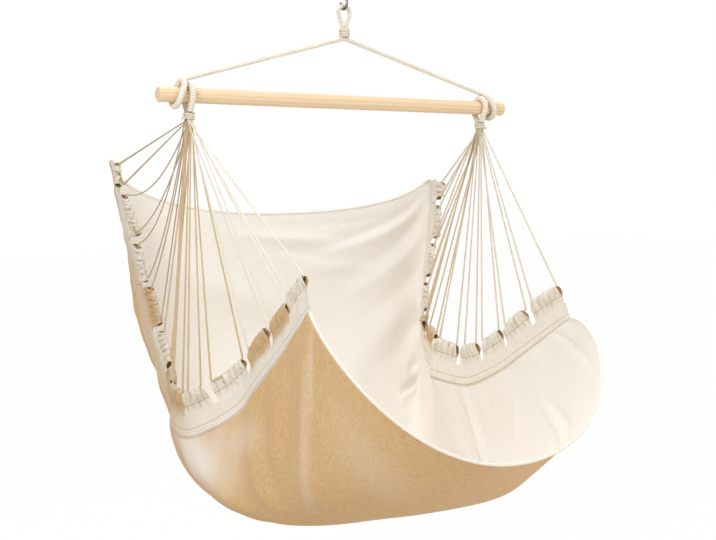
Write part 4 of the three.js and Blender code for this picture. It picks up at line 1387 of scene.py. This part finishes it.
@dataclass
class RopeWork:
    """The bridle rope, the eye on the hook, the rings round the bar and the whippings."""

    rigging: Rigging
    laid: TwistedCotton = TwistedCotton(
        name="three-strand cotton rope",
        colour="f2ebdc",
        groove="c4ad88",
        lay_mm=30.0,
        yarns=18,
        around_mm=2 * math.pi * 5,
        groove_share=0.3,
        bump_mm=0.2,
    )
    served: TwistedCotton = TwistedCotton(
        name="cord served round a rope eye",
        colour="f4eee1",
        groove="bfaa86",
        lay_mm=5.0,
        yarns=1,
        around_mm=4000.0,
        groove_share=0.5,
        bump_mm=0.3,
    )
    twine: TwistedCotton = TwistedCotton(
        name="whipping twine",
        colour="f3ebdb",
        groove="cdb997",
        lay_mm=9.0,
        yarns=3,
        around_mm=2 * math.pi * 1.5,
        groove_share=0.4,
        bump_mm=0.3,
    )
    strand_depth: float = 0.9
    strand_lay: float = 34.0
    rib_pitch: float = 5.0
    rib_depth: float = 1.1
    binding_radius: float = 1.6
    binding_turns: int = 5
    knot_radius: float = 1.25
    knot_size: float = 1.35

    def laid_section(self, lengths: Numbers, angles: Numbers) -> Numbers:
        """Gives the three-lobed section of a laid rope, which turns along it."""
        turned = 1.5 * (angles - 2 * math.pi * lengths / self.strand_lay)
        lobes = self.strand_depth * (1 - np.abs(np.cos(turned))) ** 1.3
        return self.rigging.rope_radius - lobes

    def served_section(self, lengths: Numbers, angles: Numbers) -> Numbers:
        """Gives the radius of a served eye, with a rib for each turn of its cord."""
        rib = np.abs(np.sin(math.pi * lengths / self.rib_pitch))
        return self.rigging.ring_radius - self.rib_depth * (1 - rib) ** 1.5

    def build(self) -> None:
        """Builds all the rope work."""
        laid, served, twine = self.laid.material(), self.served.material(), self.twine.material()
        self.eye(laid)
        self.bridle(laid)
        for side in Side:
            self.rope_eye(side, served)
            self.clew_eye(side, served)
            self.neck(side, twine)
            self.knot(side, twine)
        self.binding(twine)

    def eye(self, material: Material) -> None:
        """Builds the bight of rope that hangs on the hook."""
        r = self.rigging
        throat_half = r.rope_radius + r.gap / 2
        foot = r.bridle_top + r.gap
        binding_top = foot + self.binding_height
        belly = r.eye_crown - r.eye_half_width
        left = [(-throat_half, 0.0, foot)]
        for share in np.linspace(0, 1, 13):
            ease = 0.5 - 0.5 * math.cos(math.pi * share)
            half = throat_half + (r.eye_half_width - throat_half) * ease
            left.append((-half, 0.0, binding_top + (belly - binding_top) * share))
        arc = [
            (r.eye_half_width * math.cos(a), 0.0, belly + r.eye_half_width * math.sin(a))
            for a in np.linspace(math.pi, 0, 25)[1:-1]
        ]
        right = [(-x, y, z) for x, y, z in left[::-1]]
        path = resample(np.array(left + arc + right), 1.6)
        rope = sweep("rope_eye_on_hook", path, self.laid_section, 20)
        dress(rope, material, "eye", "eye_loop")

    @property
    def binding_height(self) -> float:
        """Height of the binding under the eye."""
        turns = self.binding_turns
        return 2 * self.binding_radius * (turns + 1) + self.rigging.turn_gap * turns

    def bridle(self, material: Material) -> None:
        """Builds the V of rope over the bar."""
        r = self.rigging
        ring_gap = (r.ring_radius + r.gap) * math.cos(math.atan(r.slope))
        foot_x = r.rope_eye_place - r.rope_eye_lean - ring_gap
        foot_z = r.bar + r.foot_rise - r.slope * (foot_x - (r.bar_length / 2 - r.foot_inset))
        knots = [(-foot_x, 0.0, foot_z)]
        for share in np.linspace(-1, 1, 9):
            dip = r.slope * r.apex_half_bend * (1 + share**2) / 2
            knots.append((share * r.apex_half_bend, 0.0, r.apex - dip))
        knots.append((foot_x, 0.0, foot_z))
        path = resample(np.array(knots), 1.7)
        rope = sweep("bridle_rope", path, self.laid_section, 20)
        dress(rope, material, "bridle", "suspension_rope")

    def rope_eye(self, side: Side, material: Material) -> None:
        """Builds the served ring of the bridle rope, its crown leaning in towards the V."""
        r = self.rigging
        angle = np.linspace(0, 2 * math.pi, 201)[:-1]
        crown = ((1 + np.cos(angle)) / 2) ** 2
        reach = r.ring_reach + r.rope_eye_crown_rise * crown**2
        x = side.value * (r.rope_eye_place - r.rope_eye_lean * crown)
        path = side_by_side(x, -reach * np.sin(angle), r.bar + reach * np.cos(angle))
        name = side.name.lower() + "_rope_eye"
        ring = sweep(name + "_served", path, self.served_section, 20, closed=True)
        dress(ring, material, "bridle", name)

    def clew_eye(self, side: Side, material: Material) -> None:
        """Builds the served eye of the clew, over the bar and down to the neck."""
        r = self.rigging
        half = r.ring_radius + r.gap
        x = side.value * r.clew_place
        splay = math.radians(r.clew_splay_degrees)
        top = (x, -r.ring_reach * math.cos(splay), -r.ring_reach * math.sin(splay))
        foot = (x, -half, -r.clew_leg_drop)
        bend = (x, -half, -r.clew_leg_drop + r.ring_radius / 2)
        knots = [foot, bend, tuple((np.array(bend) + np.array(top)) / 2)]
        for angle in np.linspace(-splay, math.pi + splay, 41):
            knots.append((x, -r.ring_reach * math.cos(angle), r.ring_reach * math.sin(angle)))
        knots += [(k[0], -k[1], k[2]) for k in knots[2::-1]]
        path = resample(np.array(knots) + np.array([0, 0, r.bar]), 0.8)
        name = side.name.lower() + "_clew_eye"
        dress(sweep(name + "_served", path, self.served_section, 20), material, "seat", name)

    def helix(
        self, name: str, centre_x: float, reach: float, radius: float, turns: int, top: float
    ) -> Piece:
        """Builds a cord wound round a bundle.

        Args:
            name: the piece's name.
            centre_x: the bundle's place along the bar.
            reach: distance from the bundle's middle to the cord's.
            radius: the cord's radius.
            turns: number of turns.
            top: height of the winding's top.

        Returns:
            The winding.
        """
        angle = 2 * math.pi * np.arange(40 * turns + 1) / 40
        pitch = 2 * radius + self.rigging.turn_gap
        z = top - radius - pitch * angle / (2 * math.pi)
        path = side_by_side(centre_x + reach * np.cos(angle), reach * np.sin(angle), z)
        lead = unit((path[0] - path[1])[None, :])[0] * 2 * radius
        tail = unit((path[-1] - path[-2])[None, :])[0] * 2 * radius
        path = np.vstack([path[0] + lead, path, path[-1] + tail])
        return sweep(name, path, lambda lengths, angles: np.full_like(lengths, radius), 12)

    def neck(self, side: Side, material: Material) -> None:
        """Builds the whipping round the cords of one clew."""
        r = self.rigging
        name = side.name.lower() + "_neck_whipping"
        reach = r.bundle_radius + r.gap + r.cord_radius
        size = (r.cord_radius, r.neck_turns, r.neck_top - r.gap)
        winding = self.helix(name + "_twine", side.value * r.clew_place, reach, *size)
        dress(winding, material, "seat", name)

    def binding(self, material: Material) -> None:
        """Builds the binding that closes the rope's eye."""
        r = self.rigging
        radius = self.binding_radius
        reach = 2 * r.rope_radius + r.gap / 2 + r.gap + radius
        top = r.bridle_top + r.gap + self.binding_height
        winding = self.helix("eye_binding_twine", 0.0, reach, radius, self.binding_turns, top)
        dress(winding, material, "binding", "eye_whipping")

    def knot(self, side: Side, material: Material) -> None:
        """Builds the stopper knot of the whipping twine beside the neck."""
        r = self.rigging
        t = np.linspace(0, 2 * math.pi, 91)[:-1]
        x, y = np.sin(t) + 2 * np.sin(2 * t), np.cos(t) - 2 * np.cos(2 * t)
        loop = side_by_side(x, y, -1.2 * np.sin(3 * t))
        centre = np.array([side.value * (r.clew_place + 15.5), -5.0, r.neck_bottom + 3.0])
        name = side.name.lower() + "_twine_knot"
        path = centre + loop * self.knot_size
        thin = self.knot_radius
        knot = sweep(name, path, lambda lengths, angles: np.full_like(lengths, thin), 10, closed=True)
        dress(knot, material, "seat")


@dataclass
class SpreaderBar:
    """The turned wooden bar."""

    rigging: Rigging
    sides: int = 64
    end_rounding: float = 5.0
    chamfer_width: float = 4.0
    end_crown: float = 0.2
    finish: TurnedBeech = TurnedBeech()

    def build(self) -> None:
        """Models the bar from a cylinder with rounded ends."""
        r = self.rigging
        deselect()
        bpy.ops.mesh.primitive_cylinder_add(
            vertices=self.sides,
            radius=r.bar_radius * MM,
            depth=r.bar_length * MM,
            location=(0, 0, r.bar * MM),
            rotation=(0, math.pi / 2, 0),
        )
        dowel = bpy.context.object
        dowel.name = "turned_spreader_bar"
        bpy.ops.object.transform_apply(location=True, rotation=True, scale=True)
        self._select_ends(dowel)
        bpy.ops.mesh.bevel(offset=self.end_rounding * MM, segments=6, affect="EDGES")
        bpy.ops.object.mode_set(mode="OBJECT")
        self._select_ends(dowel)
        bpy.ops.mesh.inset(thickness=self.chamfer_width * MM, depth=self.end_crown * MM)
        bpy.ops.object.mode_set(mode="OBJECT")
        bpy.ops.object.shade_smooth_by_angle(angle=math.radians(40))
        dress(dowel, self.finish.material(), "bar", "spreader_bar")

    def _select_ends(self, dowel: Piece) -> None:
        """Selects the two end faces of the bar and goes into edit mode."""
        select_only(dowel)
        bpy.ops.object.mode_set(mode="EDIT")
        bpy.ops.mesh.select_mode(type="FACE")
        bpy.ops.mesh.select_all(action="DESELECT")
        bpy.ops.object.mode_set(mode="OBJECT")
        for polygon in dowel.data.polygons:
            polygon.select = abs(polygon.normal.x) > 0.99
        bpy.ops.object.mode_set(mode="EDIT")


@dataclass
class SHook:
    """The S-hook, bent from round wire."""

    rigging: Rigging
    tip_degrees: float = 200.0
    sides: int = 20
    steps: int = 30
    tip_rounding: float = 1.2
    finish: GalvanisedSteel = GalvanisedSteel()

    def build(self) -> None:
        """Models the hook by spinning a circle of wire round both crooks."""
        r = self.rigging
        lean = math.asin(2 * r.bend_radius / r.crook_spacing)
        tip = math.radians(self.tip_degrees)
        bend = tip + lean
        start = Vector((0, r.bend_radius * math.cos(tip), r.bend_radius * math.sin(tip))) * MM
        deselect()
        bpy.ops.mesh.primitive_circle_add(
            vertices=self.sides,
            radius=r.wire_radius * MM,
            fill_type="NGON",
            location=start,
            rotation=(tip, 0, 0),
        )
        wire = bpy.context.object
        wire.name = "bent_wire_hook"
        bpy.ops.object.transform_apply(location=True, rotation=True, scale=True)
        bpy.ops.object.mode_set(mode="EDIT")
        bpy.ops.mesh.select_mode(type="FACE")
        bpy.ops.mesh.select_all(action="SELECT")
        bpy.ops.mesh.spin(steps=self.steps, angle=bend, center=(0, 0, 0), axis=(1, 0, 0))
        straight = math.sqrt(r.crook_spacing**2 - (2 * r.bend_radius) ** 2)
        way = Vector((0, -math.sin(lean), -math.cos(lean))) * straight * MM
        bpy.ops.mesh.extrude_region_move(TRANSFORM_OT_translate={"value": way})
        lower = (0, 0, -r.crook_spacing * MM)
        bpy.ops.mesh.spin(steps=self.steps, angle=-bend, center=lower, axis=(1, 0, 0))
        bpy.ops.mesh.select_all(action="SELECT")
        bpy.ops.mesh.normals_make_consistent(inside=False)
        bpy.ops.object.mode_set(mode="OBJECT")
        for polygon in wire.data.polygons:
            polygon.select = len(polygon.vertices) > 4
        bpy.ops.object.mode_set(mode="EDIT")
        bpy.ops.mesh.select_mode(type="FACE")
        bpy.ops.mesh.bevel(offset=self.tip_rounding * MM, segments=4, affect="EDGES")
        bpy.ops.object.mode_set(mode="OBJECT")
        bpy.ops.object.shade_smooth_by_angle(angle=math.radians(50))
        dress(wire, self.finish.material(), "hook", "s_hook")


@dataclass
class Studio:
    """A plain pale floor, soft lights and the camera at the photograph's viewing angle."""

    camera_place: tuple[float, float, float] = (-1603.45, -2516.66, -553.55)
    turn_degrees: float = 33.0
    pitch_degrees: float = 2.92
    roll_degrees: float = -0.78
    lens: float = 60.28
    floor_height: float = -1750.0
    floor_colour: str = "efede9"
    floor_glow_share: float = 0.975
    world_strength: float = 0.45
    lit_place: tuple[float, float, float] = (0.0, -100.0, -900.0)
    # Name, place in millimetres, size in metres and watts
    lamp_rows: tuple = (
        ("key", (-2700, -1900, 1100), 1.8, 64.0),
        ("fill", (1300, -3000, -500), 2.6, 30.0),
        ("top", (300, 200, 2300), 2.0, 46.0),
    )

    def build(self) -> None:
        """Sets up the stage."""
        self.world()
        self.floor()
        self.lamps()
        self.camera()
        bpy.context.scene.view_settings.view_transform = "Standard"

    def world(self) -> None:
        """Makes a white sky for the camera and a softer one for the light."""
        world = bpy.data.worlds.new("studio")
        bpy.context.scene.world = world
        world.use_nodes = True
        tree = world.node_tree
        tree.nodes.clear()
        light = add_node(tree, "Background", {"Color": WHITE, "Strength": self.world_strength})
        seen = add_node(tree, "Background", {"Color": WHITE, "Strength": 1.0})
        shader = add_node(tree, "MixShader", {0: self._seen_share(tree), 1: light, 2: seen})
        add_node(tree, "OutputWorld", {"Surface": shader})

    def _seen_share(self, tree: Tree) -> bpy.types.Node:
        """Gives 1 for rays from the camera, also in reflections and through glass."""
        rays = add_node(tree, "LightPath").outputs
        both = {0: rays["Is Camera Ray"], 1: rays["Is Glossy Ray"]}
        share = {0: add_node(tree, "Math", both, operation="MAXIMUM"), 1: rays["Is Transmission Ray"]}
        return add_node(tree, "Math", share, operation="MAXIMUM")

    def floor(self) -> None:
        """Lays a pale floor that keeps the chair's shadow."""
        deselect()
        bpy.ops.mesh.primitive_plane_add(size=60, location=(0, 0, self.floor_height * MM))
        floor = bpy.context.object
        floor.name = "floor"
        material, tree = new_tree("pale painted floor")
        paint = {"Color": linear(self.floor_colour), "Roughness": 1.0}
        matt = add_node(tree, "BsdfDiffuse", paint)
        white = add_node(tree, "Emission", {"Color": WHITE, "Strength": 1.0})
        glow = {0: self._seen_share(tree), 1: self.floor_glow_share}
        share = add_node(tree, "Math", glow, operation="MULTIPLY")
        shader = add_node(tree, "MixShader", {0: share, 1: matt, 2: white})
        add_node(tree, "OutputMaterial", {"Surface": shader})
        floor.data.materials.append(material)

    def lamps(self) -> None:
        """Hangs three soft lamps: a key above the camera's left, a fill and a top light."""
        target = Vector(self.lit_place) * MM
        for name, place, size, power in self.lamp_rows:
            data = bpy.data.lights.new(name, "AREA")
            data.size = size
            data.energy = power
            data.color = (1.0, 0.995, 0.985)
            lamp = bpy.data.objects.new(name, data)
            lamp.location = Vector(place) * MM
            lamp.rotation_euler = (target - lamp.location).to_track_quat("-Z", "Y").to_euler()
            bpy.context.scene.collection.objects.link(lamp)

    def camera(self) -> None:
        """Puts the camera where the photograph was taken."""
        turn, pitch = math.radians(self.turn_degrees), math.radians(self.pitch_degrees)
        roll = math.radians(self.roll_degrees)
        ahead = Vector(
            (math.sin(turn) * math.cos(pitch), math.cos(turn) * math.cos(pitch), -math.sin(pitch))
        )
        level = Vector((math.cos(turn), -math.sin(turn), 0))
        over = level.cross(ahead)
        right = level * math.cos(roll) + over * math.sin(roll)
        up = over * math.cos(roll) - level * math.sin(roll)
        data = bpy.data.cameras.new("photograph")
        data.lens = self.lens
        data.sensor_width = 36.0
        camera = bpy.data.objects.new("photograph", data)
        rows = Matrix((right, up, -ahead)).transposed().to_4x4()
        camera.matrix_world = Matrix.Translation(Vector(self.camera_place) * MM) @ rows
        bpy.context.scene.collection.objects.link(camera)
        bpy.context.scene.camera = camera


def tab_colours(base: Numbers, tabs: Iterable[int]) -> tuple:
    """Gives the twelve tabs or lengths of band their colours: cream, or a painted shade colour on some.
    """
    return tuple(base if tab in tabs else CREAM for tab in range(12))


def build_casings(shape: SeatShape) -> list[Piece]:
    """Builds both side casings, with their brown tabs and a lighter brown on the left band, all painted
    shade, where the photograph shows them.
    """
    light_painted_shade = BROWN * 0.7 + CREAM * 0.3
    left = (tab_colours(BROWN, (1, 2, 5, 6, 8)), tab_colours(light_painted_shade, (5, 6, 7, 8, 9)))
    right = (tab_colours(BROWN, (5, 6, 7)), tab_colours(CREAM, ()))
    casings = [
        HemCasing(shape, Side.LEFT, "left_hem_casing", *left, seed=3),
        HemCasing(shape, Side.RIGHT, "right_hem_casing", *right, seed=5),
    ]
    material = casings[0].pale.material()
    return [casing.build(material) for casing in casings]


def build_fans(shape: SeatShape) -> None:
    """Builds both fans of cords, each cord in one of four shades of cream and tan."""
    finishes = []
    for name, colour, groove in (
        ("natural", "f4ecde", "cfba97"),
        ("ivory", "e6d9c3", "b39e7c"),
        ("unbleached", "dfc8a2", "a3855a"),
        ("darkest", "c6b392", "8a7351"),
    ):
        finish = TwistedCotton(
            name="twisted cotton cord, " + name,
            colour=colour,
            groove=groove,
            lay_mm=12.0,
            yarns=3,
            around_mm=2 * math.pi * 1.5,
            groove_share=0.14,
        )
        finishes.append(finish.material())
    natural, ivory, unbleached, darkest = finishes
    left = {**dict.fromkeys((0, 1, 2), natural), **dict.fromkeys((8, 9, 10, 11), darkest)}
    right = dict.fromkeys((5, 6, 7, 9), unbleached)
    CordFan(shape, Side.LEFT, slack=LEFT_SLACK, other_finishes=left).build(unbleached)
    CordFan(shape, Side.RIGHT, other_finishes=right).build(ivory)


def main() -> None:
    logging.basicConfig(level=logging.INFO, format="%(name)s: %(message)s")
    rigging = Rigging()
    shape = SeatShape(rigging)
    Studio().build()
    SHook(rigging).build()
    RopeWork(rigging).build()
    SpreaderBar(rigging).build()
    canvas = Canvas(shape)
    sheet = canvas.build()
    bands = build_casings(shape)
    build_fans(shape)


if __name__ == "__main__":
    main()
